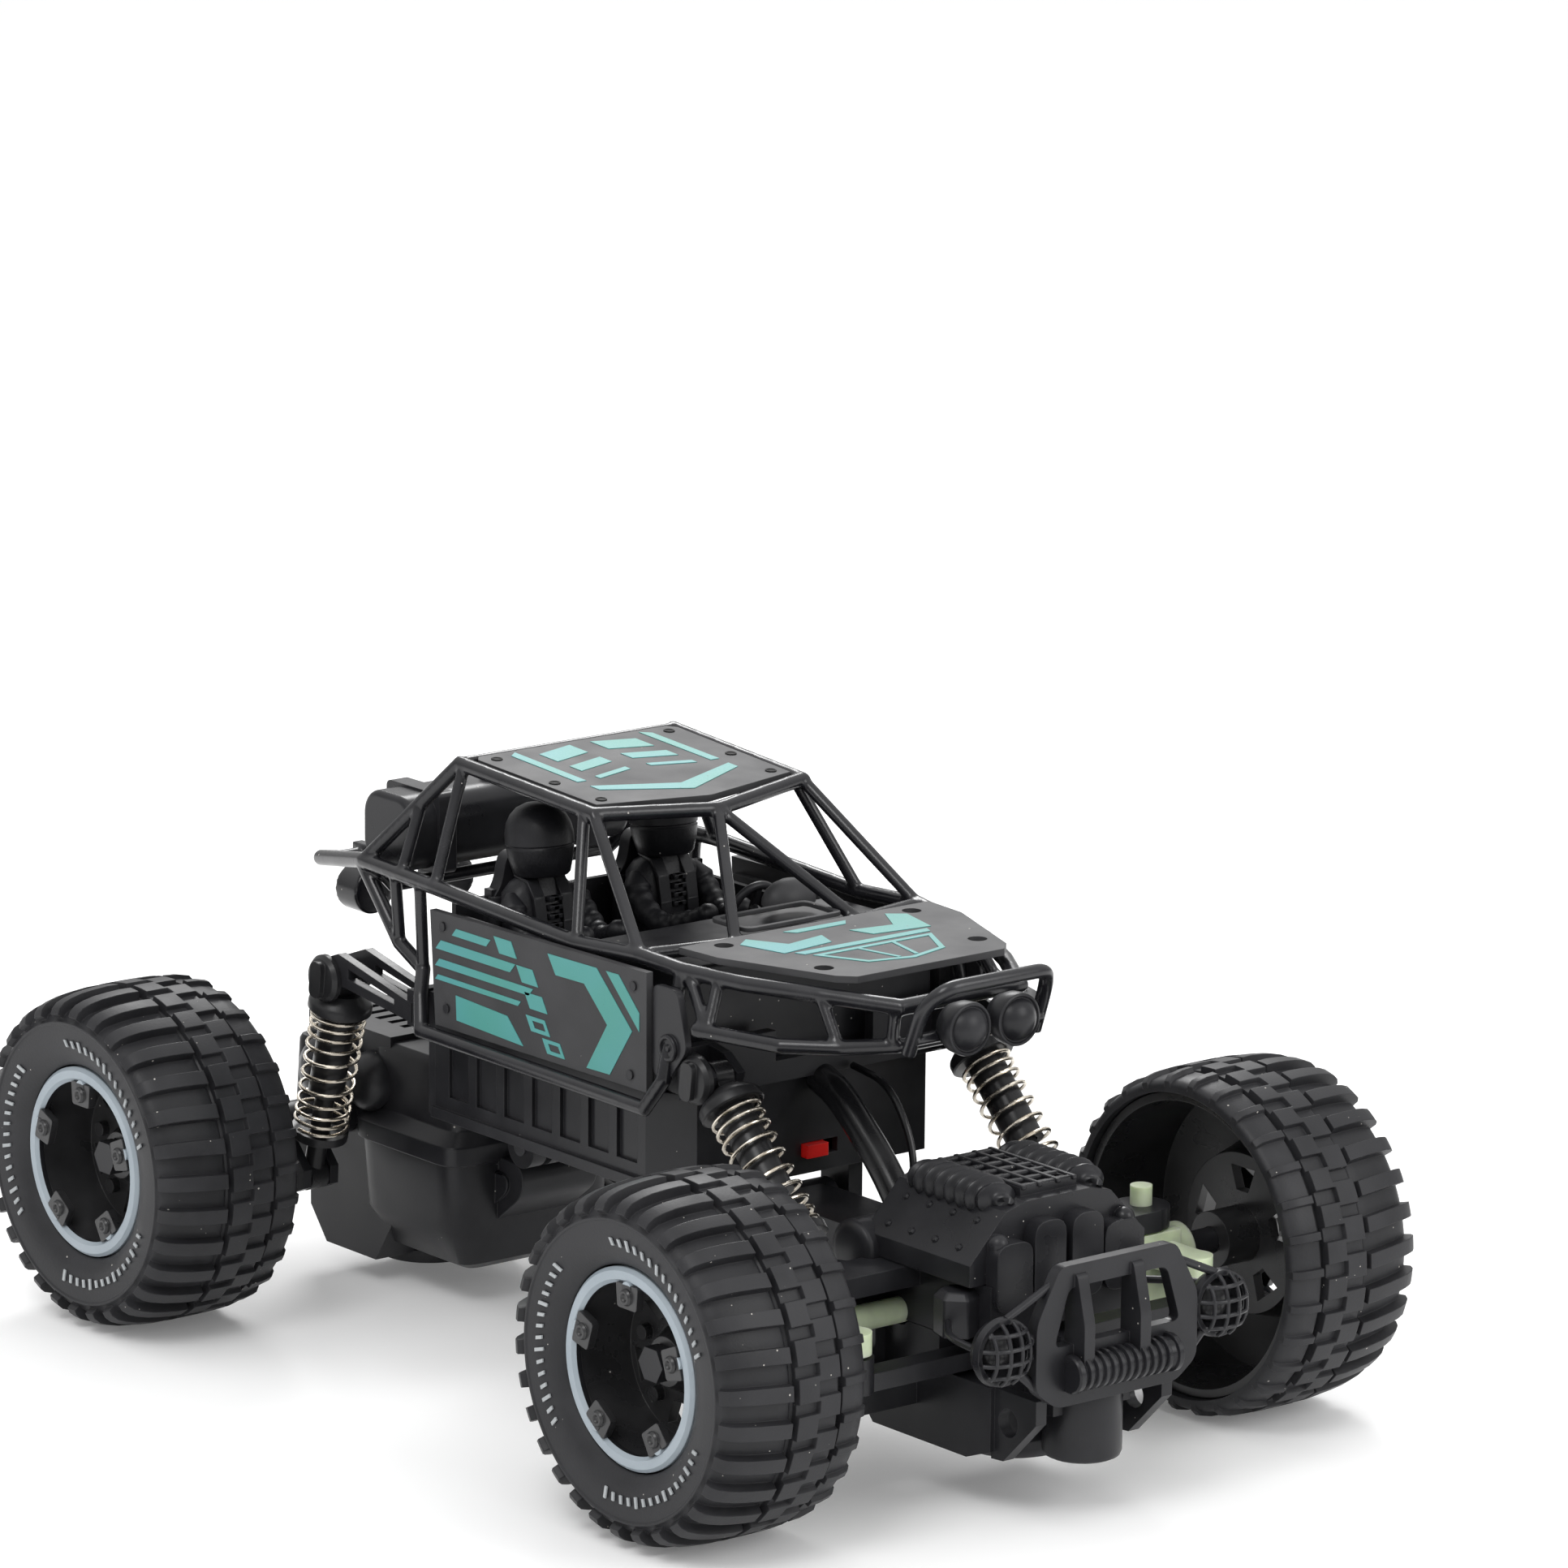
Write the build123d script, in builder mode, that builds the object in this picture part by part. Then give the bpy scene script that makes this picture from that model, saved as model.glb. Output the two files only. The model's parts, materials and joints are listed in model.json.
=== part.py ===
from build123d import *
from math import atan2, cos, degrees, radians, sin
import os

os.makedirs("parts", exist_ok=True)

# Millimetres. +X is forward, +Y is the car's left, +Z is up and z = 0 is the ground.
sides = {"right": -1, "left": 1}

# Fits: the air round a turning pin, and the air between pieces that are screwed together.
running = 0.05
air = 0.2

# Wheels and axles.
tyre_radius = 40.0
axle_z = tyre_radius
front_axle_x = 97.0
rear_axle_x = -110.0
wheel_y = 80.0
axle_radius = 2.95
nut_inner_y = wheel_y + 6.3
nut_outer_y = wheel_y + 10.0

# Suspension: each axle swings on a pin under the chassis.
front_pivot_x = 31.5
rear_pivot_x = -44.5
pivot_z = 45.0
pivot_pin_radius = 2.0
arm_half_width = 12.0
lug_outer_y = 18.0

# Shock absorbers, from the top pin on the chassis to the bottom pin on the axle.
front_shock_y = 36.0
front_shock_top = (51.0, 85.4)
front_shock_bottom = (88.2, 46.7)
rear_shock_y = 38.0
rear_shock_top = (-86.1, 81.0)
rear_shock_bottom = (-99.5, 29.7)
shock_pin_radius = 1.5
shock_eye_radius = 3.5
shock_eye_width = 4.8
lower_collar = 10.5
ear_inner = 2.7
ear_outer = 5.0

# Steering.
kingpin_y = 49.0
kingpin_radius = 2.5
steering_arm = 18.5
tie_pin_x = front_axle_x + steering_arm
tie_pin_radius = 2.0
crank_x = 134.5
crank_pin_x = crank_x - steering_arm

# Gears: one large gear on each axle, driven by a pinion on the motor shaft.
gear_teeth = 32
gear_module = 0.7
pinion_teeth = 8
centre_distance = gear_module * (gear_teeth + pinion_teeth) / 2
gear_y = (8.0, 12.0)
motor_y = (-18.5, 5.0)
motor_radius = 9.0
motor_half_height = 7.0
front_mesh_angle = 65.0
rear_mesh_angle = 60.0

# Chassis tub.
tub_rear_x = -49.5
tub_front_x = 40.5
tub_half_width = 39.0
tub_floor_z = 55.0
tub_top_z = 78.0
wall = 2.0

# Battery door, hinged below the tub's floor at its rear edge.
door_x = (-38.5, 14.5)
door_half_width = 31.0
door_hinge_z = 53.2
door_pin_radius = 1.0

# Corners of the cage, on the left side.
belt_rear = (-78.0, 38.2, 110.0)
belt_middle = (6.5, 40.8, 107.5)
belt_front = (28.5, 40.0, 109.0)
windscreen_foot = (34.5, 17.8, 109.5)
roof_rear = (-50.5, 31.0, 137.0)
roof_front = (-1.5, 30.0, 134.0)
roof_apex = (5.5, 0.0, 132.5)


def save(part, label):
    """Writes one piece as its own file."""
    part.label = label
    export_step(part, f"parts/{label}.step")


def block(x, y, z, mode=Mode.ADD):
    """A block that fills the two limits given on each axis, in either order."""
    size = [abs(limits[1] - limits[0]) for limits in (x, y, z)]
    with Locations((min(x), min(y), min(z))):
        Box(*size, align=(Align.MIN, Align.MIN, Align.MIN), mode=mode)


def bar(start, end, radius, mode=Mode.ADD):
    """A round bar from one point to another."""
    run = Vector(*end) - Vector(*start)
    with Locations(Plane(origin=start, z_dir=run)):
        return Cylinder(
            radius, run.length, align=(Align.CENTER, Align.CENTER, Align.MIN), mode=mode
        )


def bent_tube(points, radius):
    """A tube along straight runs between the points, mitred at each bend."""
    with BuildLine() as path:
        Polyline(*points)
    start = Plane(origin=points[0], z_dir=Vector(*points[1]) - Vector(*points[0]))
    with BuildSketch(start) as section:
        Circle(radius)
    sweep(section.sketch, path=path.line, transition=Transition.RIGHT)


def plate(plane, outline, thickness, mode=Mode.ADD):
    """An outline made solid along the plane's normal."""
    with BuildSketch(plane) as face:
        with BuildLine():
            Polyline(*outline, close=True)
        make_face()
    extrude(face.sketch, amount=thickness, mode=mode)


def side_plate(outline, y, mode=Mode.ADD):
    """A plate seen from the side: the outline is in x and z."""
    plane = Plane(origin=(0, max(y), 0), x_dir=(1, 0, 0), z_dir=(0, -1, 0))
    plate(plane, outline, abs(y[1] - y[0]), mode)


def cross_plate(outline, x, mode=Mode.ADD):
    """A plate seen from the front: the outline is in y and z."""
    plane = Plane(origin=(x[0], 0, 0), x_dir=(0, 1, 0), z_dir=(1, 0, 0))
    plate(plane, outline, x[1] - x[0], mode)


def flat_plate(outline, z, mode=Mode.ADD):
    """A plate seen from above: the outline is in x and y."""
    plate(Plane.XY.offset(z[0]), outline, z[1] - z[0], mode)


def both_sides(outline):
    """Closes an (x, y) outline whose points are given for the left side only."""
    return outline + [(x, -y) for x, y in reversed(outline)]


def both_halves(outline):
    """Closes a (y, z) outline whose points are given for the left side only."""
    return outline + [(-y, z) for y, z in reversed(outline)]


def mirrored(points):
    """The same points on the car's other side."""
    return [(x, -y, z) for x, y, z in points]


def carried_across(points):
    """A run of points on the left side carried on, mirrored, down the right side."""
    return points + mirrored(reversed(points))


def hinge_eye(x, z, y, radius, mode=Mode.ADD):
    """A round eye, or its bore, whose axis runs across the car."""
    bar((x, y[0], z), (x, y[1], z), radius, mode)


# Wheels ------------------------------------------------------------------------------------

def wheel_plane(axle_x, side):
    """Local x is the radius and local y points out of the car."""
    return Plane(origin=(axle_x, side * wheel_y, axle_z), x_dir=(0, 0, 1), z_dir=(-side, 0, 0))


def spun(axle_x, side, outline):
    """Adds an outline in radius and outward distance, spun about the axle."""
    with BuildSketch(wheel_plane(axle_x, side)) as section:
        with BuildLine():
            Polyline(*outline, close=True)
        make_face()
    revolve(section.sketch, axis=Axis((axle_x, side * wheel_y, axle_z), (0, side, 0)))


def face_plane(axle_x, side, outward):
    """A plane across the wheel, facing out of the car, at a distance outward of its middle."""
    return Plane(
        origin=(axle_x, side * (wheel_y + outward), axle_z),
        x_dir=(1, 0, 0),
        z_dir=(0, side, 0),
    )


def make_tyre(axle_x, side):
    with BuildPart() as tyre:
        spun(axle_x, side, [
            (22.7, 12.3), (22.7, 15.2), (26.5, 17.6), (33.0, 19.0), (37.0, 19.0),
            (tyre_radius, 15.5), (tyre_radius, -15.5), (37.4, -19.0), (35.1, -19.0), (35.1, 7.35),
        ])
    return tyre.part


def make_rim(axle_x, side):
    with BuildPart() as rim:
        spun(axle_x, side, [
            (3.05, -10.0), (6.5, -10.0), (6.5, -0.5), (18.6, -0.5), (21.0, 8.5), (33.0, 5.0),
            (33.0, -17.0), (34.9, -17.0), (34.9, 7.0), (22.3, 11.8), (22.3, 14.0), (19.2, 14.0),
            (17.2, 2.0), (7.5, 2.0), (5.5, 6.0), (3.05, 6.0),
        ])
        # Five windows through the web.
        with BuildSketch(face_plane(axle_x, side, -1.0)) as windows:
            with PolarLocations(12.6, 5, start_angle=54):
                Trapezoid(8.0, 5.6, 70, rotation=90)
        extrude(windows.sketch, amount=4.0, mode=Mode.SUBTRACT)
        # Five bosses between the windows.
        with BuildSketch(face_plane(axle_x, side, 1.0)) as bosses:
            with PolarLocations(11.5, 5, start_angle=90):
                Circle(1.7)
        extrude(bosses.sketch, amount=3.0)
    return rim.part


def make_bead_rings(axle_x, ring_sides):
    """One ring for each side given, with five lugs and screw heads reaching into the dish."""
    section = [
        (18.9, 14.2), (22.4, 14.2), (22.4, 15.4), (21.6, 16.2), (19.7, 16.2), (18.9, 15.4),
    ]
    with BuildPart() as rings:
        for side in ring_sides:
            spun(axle_x, side, section)
            with BuildSketch(face_plane(axle_x, side, 14.2)) as lugs:
                with PolarLocations(18.2, 5, start_angle=90):
                    Rectangle(3.4, 6.0)
            extrude(lugs.sketch, amount=1.4)
            with BuildSketch(face_plane(axle_x, side, 15.0)) as heads:
                with PolarLocations(18.2, 5, start_angle=90):
                    Circle(1.5)
            extrude(heads.sketch, amount=1.6)
    return rings.part


def add_wheel_nut(axle_x, side):
    with BuildSketch(face_plane(axle_x, side, nut_inner_y - wheel_y)) as nut:
        RegularPolygon(4.2, 6)
    extrude(nut.sketch, amount=nut_outer_y - nut_inner_y)


def make_front_stub_axle(side):
    """The driven stub: a ball inside the drive cup, a thin neck, then the wheel's own shaft."""
    with BuildPart() as stub:
        with Locations((front_axle_x, side * kingpin_y, axle_z)):
            Sphere(2.8)
        bar((front_axle_x, side * kingpin_y, axle_z), (front_axle_x, side * 54.5, axle_z), 1.8)
        bar((front_axle_x, side * 54.0, axle_z), (front_axle_x, side * 88.0, axle_z), axle_radius)
        add_wheel_nut(front_axle_x, side)
    return stub.part


# Gears and motors --------------------------------------------------------------------------

def tooth_outline(teeth, root, tip, root_half, tip_half, first_angle):
    """Straight-sided teeth on a root circle, with one tooth centred on the first angle."""
    outline = []
    for tooth in range(teeth):
        middle = first_angle + 360.0 * tooth / teeth
        corners = ((root, -root_half), (tip, -tip_half), (tip, tip_half), (root, root_half))
        for radius, half in corners:
            angle = radians(middle) + atan2(half, radius)
            outline.append((radius * cos(angle), radius * sin(angle)))
    return outline


def add_gear(x, z, outline):
    centred = [(x + across, z + up) for across, up in outline]
    side_plate(centred, gear_y)


def large_gear(axle_x, mesh_angle):
    pitch = gear_module * gear_teeth / 2
    outline = tooth_outline(gear_teeth, pitch - 0.9, pitch + 0.7, 0.6, 0.26, mesh_angle)
    add_gear(axle_x, axle_z, outline)


def pinion_centre(axle_x, mesh_angle):
    across = centre_distance * cos(radians(mesh_angle))
    up = centre_distance * sin(radians(mesh_angle))
    return axle_x + across, axle_z + up


def make_pinion(axle_x, mesh_angle):
    """The pinion and the motor shaft it is moulded on."""
    x, z = pinion_centre(axle_x, mesh_angle)
    pitch = gear_module * pinion_teeth / 2
    gap_angle = mesh_angle + 180.0
    first_tooth = gap_angle + 180.0 / pinion_teeth
    outline = tooth_outline(pinion_teeth, pitch - 0.85, pitch + 0.65, 0.45, 0.3, first_tooth)
    with BuildPart() as pinion:
        add_gear(x, z, outline)
        hinge_eye(x, z, (0.0, 12.6), 1.0)
    return pinion.part


def make_motor(axle_x, mesh_angle):
    """A small can motor, flat above and below, with a bearing bore for its shaft."""
    x, z = pinion_centre(axle_x, mesh_angle)
    with BuildPart() as motor:
        hinge_eye(x, z, motor_y, motor_radius)
        block(
            (x - motor_radius, x + motor_radius),
            motor_y,
            (z - motor_half_height, z + motor_half_height),
            Mode.INTERSECT,
        )
        hinge_eye(x, z, (5.0, 6.5), 3.0)
        hinge_eye(x, z, (-0.5, 7.0), 1.0 + running, Mode.SUBTRACT)
    return motor.part


# Shock absorbers ---------------------------------------------------------------------------

def shock_plane(top, bottom, y):
    """Origin at the top pin, local z towards the bottom pin, local x across the car."""
    run = (bottom[0] - top[0], 0, bottom[1] - top[1])
    return Plane(origin=(top[0], y, top[1]), x_dir=(0, 1, 0), z_dir=run)


def shock_length(top, bottom):
    return ((bottom[0] - top[0]) ** 2 + (bottom[1] - top[1]) ** 2) ** 0.5


def make_shock_barrel(top, bottom, y):
    up_from = (Align.CENTER, Align.CENTER, Align.MIN)
    with BuildPart(shock_plane(top, bottom, y)) as barrel:
        Cylinder(shock_eye_radius, shock_eye_width, rotation=(0, 90, 0))
        Box(shock_eye_width, 4.6, 7.0, align=up_from)
        with Locations((0, 0, 6.2)):
            Cylinder(4.3, 25.0, align=up_from)
        with Locations((0, 0, 7.0)):
            Cylinder(6.8, 2.0, align=up_from)
        with Locations((0, 0, 9.5)):
            Cylinder(2.75, 25.0, align=up_from, mode=Mode.SUBTRACT)
        Cylinder(
            shock_pin_radius + running, 10.0, rotation=(0, 90, 0), mode=Mode.SUBTRACT
        )
    return barrel.part


def make_shock_rod(top, bottom, y):
    up_from = (Align.CENTER, Align.CENTER, Align.MIN)
    end = shock_length(top, bottom)
    with BuildPart(shock_plane(top, bottom, y)) as rod:
        with Locations((0, 0, end)):
            Cylinder(shock_eye_radius, shock_eye_width, rotation=(0, 90, 0))
        with Locations((0, 0, 19.0)):
            Cylinder(2.4, end - 21.0, align=up_from)
        with Locations((0, 0, end - lower_collar - 2.0)):
            Cylinder(6.8, 2.0, align=up_from)
        with Locations((0, 0, end)):
            Cylinder(
                shock_pin_radius + running, 10.0, rotation=(0, 90, 0), mode=Mode.SUBTRACT
            )
    return rod.part


def make_springs(top, bottom, shock_y):
    """Both springs of one axle, each as a plain sleeve between the shock's two collars."""
    up_from = (Align.CENTER, Align.CENTER, Align.MIN)
    with BuildPart() as springs:
        for side in sides.values():
            length = shock_length(top, bottom) - lower_collar - 11.4
            with Locations(shock_plane(top, bottom, side * shock_y).offset(9.2)):
                Cylinder(6.35, length, align=up_from)
                Cylinder(5.4, length, align=up_from, mode=Mode.SUBTRACT)
    return springs.part


def add_ears(outline, pin, shock_y):
    """Two plates on each side of the car with a pin between them for a shock's eye."""
    for side in sides.values():
        middle = side * shock_y
        side_plate(outline, (middle - ear_outer, middle - ear_inner))
        side_plate(outline, (middle + ear_inner, middle + ear_outer))
        hinge_eye(pin[0], pin[1], (middle - ear_outer, middle + ear_outer), shock_pin_radius)


# Chassis -----------------------------------------------------------------------------------

def add_pivot_lugs(x):
    for side in sides.values():
        y = (side * (arm_half_width + 2.0), side * lug_outer_y)
        block((x - 5.0, x + 5.0), y, (pivot_z, tub_floor_z + 0.5))
        hinge_eye(x, pivot_z, y, 5.0)
    hinge_eye(x, pivot_z, (-lug_outer_y - 1, lug_outer_y + 1), pivot_pin_radius, Mode.SUBTRACT)


def make_chassis_tub():
    outer = both_sides([
        (tub_rear_x, tub_half_width), (29.5, tub_half_width), (tub_front_x, 33.0),
    ])
    inner = both_sides([
        (tub_rear_x + wall, tub_half_width - wall),
        (28.7, tub_half_width - wall),
        (tub_front_x - wall, 31.5),
    ])
    with BuildPart() as tub:
        flat_plate(outer, (tub_floor_z, tub_top_z))
        flat_plate(inner, (tub_floor_z + wall, tub_top_z + 1.0), Mode.SUBTRACT)
        for side in sides.values():
            # Shallow upright recesses along the wall, with a lip below them.
            for step in range(7):
                x = -44.0 + 10.5 * step
                block((x, x + 7.5), (side * 38.0, side * 40.0), (60.5, 75.5), Mode.SUBTRACT)
            block((tub_rear_x, 29.0), (side * 38.5, side * 40.2), (tub_floor_z, 57.5))
            # The walls of the battery bay, and a post at the rear corner.
            block(
                (door_x[0] - 2.0, door_x[1] + 2.0),
                (side * door_half_width, side * (door_half_width + 1.6)),
                (tub_floor_z + 1.0, 73.0),
            )
            block((-52.5, tub_rear_x + 0.5), (side * 33.0, side * 38.5), (tub_floor_z, 84.0))
            # Hinge lugs for the battery door.
            y = (side * 23.4, side * 26.0)
            block((door_x[0] - 2.5, door_x[0] - 0.1), y, (door_hinge_z - 1.0, tub_floor_z + 0.5))
            hinge_eye(door_x[0], door_hinge_z, y, 1.6)
        block(door_x, (-door_half_width, door_half_width), (54.9, 58.0), Mode.SUBTRACT)
        hinge_eye(door_x[0], door_hinge_z, (-27.0, 27.0), door_pin_radius + running, Mode.SUBTRACT)
        # Slot for the power switch in the front wall.
        block((38.0, 41.0), (-3.3, 7.3), (58.8, 62.2), Mode.SUBTRACT)
        add_pivot_lugs(front_pivot_x)
        add_pivot_lugs(rear_pivot_x)
    return tub.part


def make_pivot_pins():
    with BuildPart() as pins:
        for x in (front_pivot_x, rear_pivot_x):
            hinge_eye(x, pivot_z, (-lug_outer_y - 0.5, lug_outer_y + 0.5), pivot_pin_radius)
    return pins.part


def make_battery_door():
    clearance = 0.3
    with BuildPart() as door:
        block(
            (door_x[0] + clearance, door_x[1] - clearance),
            (-door_half_width + air, door_half_width - air),
            (tub_floor_z, tub_floor_z + wall),
        )
        for side in sides.values():
            y = (side * 19.5, side * 23.0)
            block((door_x[0] + clearance, door_x[0] + 1.5), y, (door_hinge_z, tub_floor_z + 0.5))
            hinge_eye(door_x[0], door_hinge_z, y, 1.5)
            hinge_eye(door_x[0], door_hinge_z, (side * 20.0, side * 25.9), door_pin_radius)
        # A finger grip in the free edge.
        block((10.5, door_x[1]), (-7.0, 7.0), (54.9, 56.0), Mode.SUBTRACT)
    return door.part


def make_power_switch():
    with BuildPart() as switch:
        block((36.2, 42.6), (-3.0, 3.0), (59.0, 62.0))
        block((36.2, 38.2), (-5.0, 5.0), (58.0, 63.0))
    return switch.part


def make_battery_cells():
    """Four cells side by side, each with its raised contact at the front."""
    cell_radius = 7.2
    spacing = 15.0
    base_x, shoulder_x, contact_x = -37.0, 12.0, 13.2
    z = 64.8
    with BuildPart() as cells:
        for step in (-1.5, -0.5, 0.5, 1.5):
            y = step * spacing
            bar((base_x, y, z), (shoulder_x, y, z), cell_radius)
            bar((shoulder_x, y, z), (contact_x, y, z), 2.7)
    return cells.part


def make_circuit_board():
    with BuildPart() as board:
        block((17.5, 34.0), (-29.0, 29.0), (65.0, 66.6))
        for y in (-22.0, -12.0, 16.0):
            block((20.0, 27.0), (y, y + 7.0), (66.6, 69.5))
        bar((29.5, 4.0, 66.0), (29.5, 4.0, 73.0), 2.8)
        for x, y in ((19.5, -27.0), (19.5, 27.0), (32.0, -27.0), (32.0, 27.0)):
            bar((x, y, 57.2), (x, y, 65.5), 1.5)
    return board.part


def make_side_panel(side):
    with BuildPart() as panel:
        side_plate(
            [(-43.5, 106.0), (37.0, 107.4), (37.2, 80.0), (-41.5, 79.3)],
            (side * 43.0, side * 44.8),
        )
        # A returned edge round the back stiffens the panel.
        side_plate(
            [(-41.0, 102.5), (35.0, 103.5), (35.2, 81.6), (-39.5, 81.2)],
            (side * 41.2, side * 43.2),
        )
        side_plate(
            [(-39.0, 101.0), (33.4, 102.0), (33.6, 83.2), (-37.8, 82.8)],
            (side * 41.0, side * 43.2),
            Mode.SUBTRACT,
        )
    return panel.part


def make_roll_cage():
    belt = [
        (-114.5, 20.0, 101.0), (-106.5, 30.0, 104.0), belt_rear, (-47.0, 40.8, 110.0), belt_middle,
        belt_front, (42.0, 38.5, 108.0), (59.0, 34.5, 107.8), (75.5, 26.5, 107.4),
        (91.5, 17.0, 106.5),
    ]
    lower_front = [
        (51.0, 42.4, 97.0), (73.5, 36.0, 97.0), (82.5, 27.0, 97.0), (90.0, 16.5, 97.5),
    ]
    sill = [
        (-80.0, 37.6, 109.7), (-64.5, 38.0, 93.0), (-54.0, 39.0, 89.0), (-50.3, 42.5, 84.0),
        (-46.0, 45.5, 77.0), (38.0, 46.0, 76.8), (42.6, 44.2, 84.0), (42.0, 38.5, 108.0),
    ]
    roof = [belt_rear, roof_rear, roof_front, roof_apex]
    roof += mirrored([roof_front, roof_rear, belt_rear])
    # Straight posts; each end lies on the centre line of a thicker tube.
    posts = [
        ((-61.5, 33.9, 126.2), (-61.5, 39.6, 110.0)),
        ((-49.0, 30.97, 136.9), (-47.0, 40.8, 110.0)),
        ((-5.0, 30.07, 134.2), belt_middle),
        (roof_front, belt_front),
        (roof_apex, windscreen_foot),
        ((-64.5, 39.3, 110.0), (-64.5, 38.0, 93.0)),
        ((-53.5, 40.3, 110.0), (-54.0, 39.0, 89.0)),
        ((52.0, 36.1, 107.9), (54.5, 41.4, 97.0)),
        ((75.5, 26.5, 107.4), (82.5, 27.0, 97.0)),
        ((90.5, 17.6, 106.5), (89.3, 17.5, 97.4)),
        ((43.5, 38.1, 108.0), (54.5, 41.4, 97.0)),
    ]
    with BuildPart() as cage:
        bent_tube(carried_across(belt), 1.9)
        bent_tube(roof, 1.75)
        bent_tube(carried_across(lower_front), 1.75)
        bent_tube(carried_across([belt_front, windscreen_foot]), 1.65)
        bent_tube(carried_across([(-74.0, 38.5, 110.0), (-76.0, 31.5, 103.5)]), 1.6)
        bar((roof_rear[0], -roof_rear[1], roof_rear[2]), roof_rear, 1.5)
        bar((-114.0, -20.5, 101.2), (-114.0, 20.5, 101.2), 1.6)
        for run in (sill, mirrored(sill)):
            bent_tube(run, 1.75)
        for start, end in posts:
            bar(start, end, 1.45)
            bar(*mirrored((start, end)), 1.45)
        # Two round tail pods hang from the rear cross tube.
        for y in (-12.0, 12.0):
            block((-117.0, -111.0), (y - 1.5, y + 1.5), (90.0, 103.7))
            bar((-118.5, y, 92.5), (-110.0, y, 92.5), 5.6)
    return cage.part


def make_roof_panel():
    """A plate let in between the roof tubes, with its front edge drawn to a shallow point."""
    fall = roof_rear[2] - roof_front[2]
    run = roof_front[0] - roof_rear[0]
    centre = ((roof_rear[0] + roof_front[0]) / 2, 0, (roof_rear[2] + roof_front[2]) / 2)
    plane = Plane(origin=centre).rotated((0, degrees(atan2(fall, run)), 0))
    outline = both_sides([
        (-run / 2 + 1.8, roof_rear[1] - 3.8), (-run / 2 + 4.0, roof_rear[1] - 2.0),
        (run / 2 - 1.8, roof_front[1] - 2.0), (run / 2 + 4.4, 0.5),
    ])
    with BuildPart() as panel:
        plate(plane, outline, 1.6)
    return panel.part


def make_hood_panel():
    with BuildPart() as hood:
        flat_plate(
            both_sides([(37.3, 36.0), (50.0, 35.0), (78.0, 24.5), (81.5, 21.0)]), (110.4, 112.0)
        )
        for side in sides.values():
            for x, y in ((42.0, 27.0), (71.0, 22.0)):
                bar((x, side * y, 110.0), (x, side * y, 113.0), 2.2, Mode.SUBTRACT)
    return hood.part


def make_light_bar():
    hoop = [(95.4, 18.0, 96.0), (100.0, 17.6, 108.0), (104.0, 14.5, 112.8)]
    with BuildPart() as light_bar:
        bent_tube(carried_across(hoop), 1.6)
        bar((97.7, -17.8, 102.4), (97.7, 17.8, 102.4), 1.2)
        for side in sides.values():
            bar((96.2, side * 7.0, 102.4), (103.4, side * 7.0, 102.4), 6.0)
            bar((103.0, side * 7.0, 102.4), (104.6, side * 7.0, 102.4), 5.2)
    return light_bar.part


def make_cockpit_tub():
    half = 36.0
    with BuildPart() as cockpit:
        block((-47.0, 38.0), (-half, half), (78.3, 80.3))
        block((-47.0, -45.5), (-half, half), (78.3, 106.0))
        block((36.0, 38.0), (-half, half), (78.3, 106.0))
        for side in sides.values():
            block((-47.0, 38.0), (side * (half - 1.5), side * half), (78.3, 103.0))
            # Seat cushion, back and head rest.
            block((-43.0, -20.0), (side * 8.5, side * 27.5), (80.0, 86.0))
            block((-46.0, -43.2), (side * 8.5, side * 27.5), (80.0, 108.0))
        # The cowl carries the instrument ledge ahead of the seats.
        side_plate(
            [(2.0, 106.0), (36.5, 106.6), (36.5, 103.0), (20.0, 103.0), (6.0, 97.0), (2.0, 97.0)],
            (-half, half),
        )
        # Steering column and wheel, moulded with the cowl.
        bar((4.0, 18.0, 102.0), (-4.0, 18.0, 105.0), 1.2)
        with Locations(Plane(origin=(-4.0, 18.0, 105.0), z_dir=(-8.0, 0, 3.0))):
            Torus(6.0, 1.0)
            Box(11.0, 1.6, 1.2)
        # Gear tunnel between the seats.
        block((-43.0, 10.0), (-5.5, 5.5), (80.0, 90.0))
    return cockpit.part


def make_figure(x, y):
    """A seated half figure: suit, gloves and a plain closed helmet, with no face."""
    with BuildPart() as figure:
        block((x - 5.0, x + 6.0), (y - 7.5, y + 7.5), (86.3, 110.0))
        fillet(figure.edges().filter_by(Axis.Z), 3.0)
        fillet(figure.faces().sort_by(Axis.Z)[-1].edges(), 2.5)
        bar((x, y, 108.0), (x, y, 115.0), 3.2)
        with Locations((x, y, 120.5)):
            Sphere(8.0)
        for side in sides.values():
            shoulder = (x + 0.5, y + side * 8.2, 105.5)
            elbow = (x + 11.0, y + side * 9.0, 97.0)
            hand = (x + 24.0, y + side * 5.0, 101.5)
            bent_tube([shoulder, elbow, hand], 2.6)
    return figure.part


def make_fuel_tank():
    with BuildPart() as tank:
        block((-87.5, -68.0), (-32.0, 32.0), (107.0, 125.0))
        fillet(tank.edges().filter_by(Axis.Y), 6.0)
        fillet(tank.faces().filter_by(Axis.Y).edges(), 1.5)
        for y in (-22.0, 22.0):
            block((-88.1, -67.4), (y - 2.5, y + 2.5), (106.4, 125.6))
        fillet(tank.edges().filter_by(Axis.Y).filter_by(lambda edge: edge.length < 6.0), 1.5)
        bar((-78.0, 0.0, 124.0), (-78.0, 0.0, 128.5), 4.0)
    return tank.part


def make_front_shock_bracket():
    ear = [(44.0, 79.0), (44.0, 91.0), (50.0, 90.0), (55.0, 86.5), (53.5, 81.8), (48.0, 80.5)]
    with BuildPart() as bracket:
        block((41.6, 44.6), (-39.0, 39.0), (79.0, 91.0))
        block((41.0, 45.0), (-14.0, 14.0), (84.0, 92.0), Mode.SUBTRACT)
        add_ears(ear, front_shock_top, front_shock_y)
    return bracket.part


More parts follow.
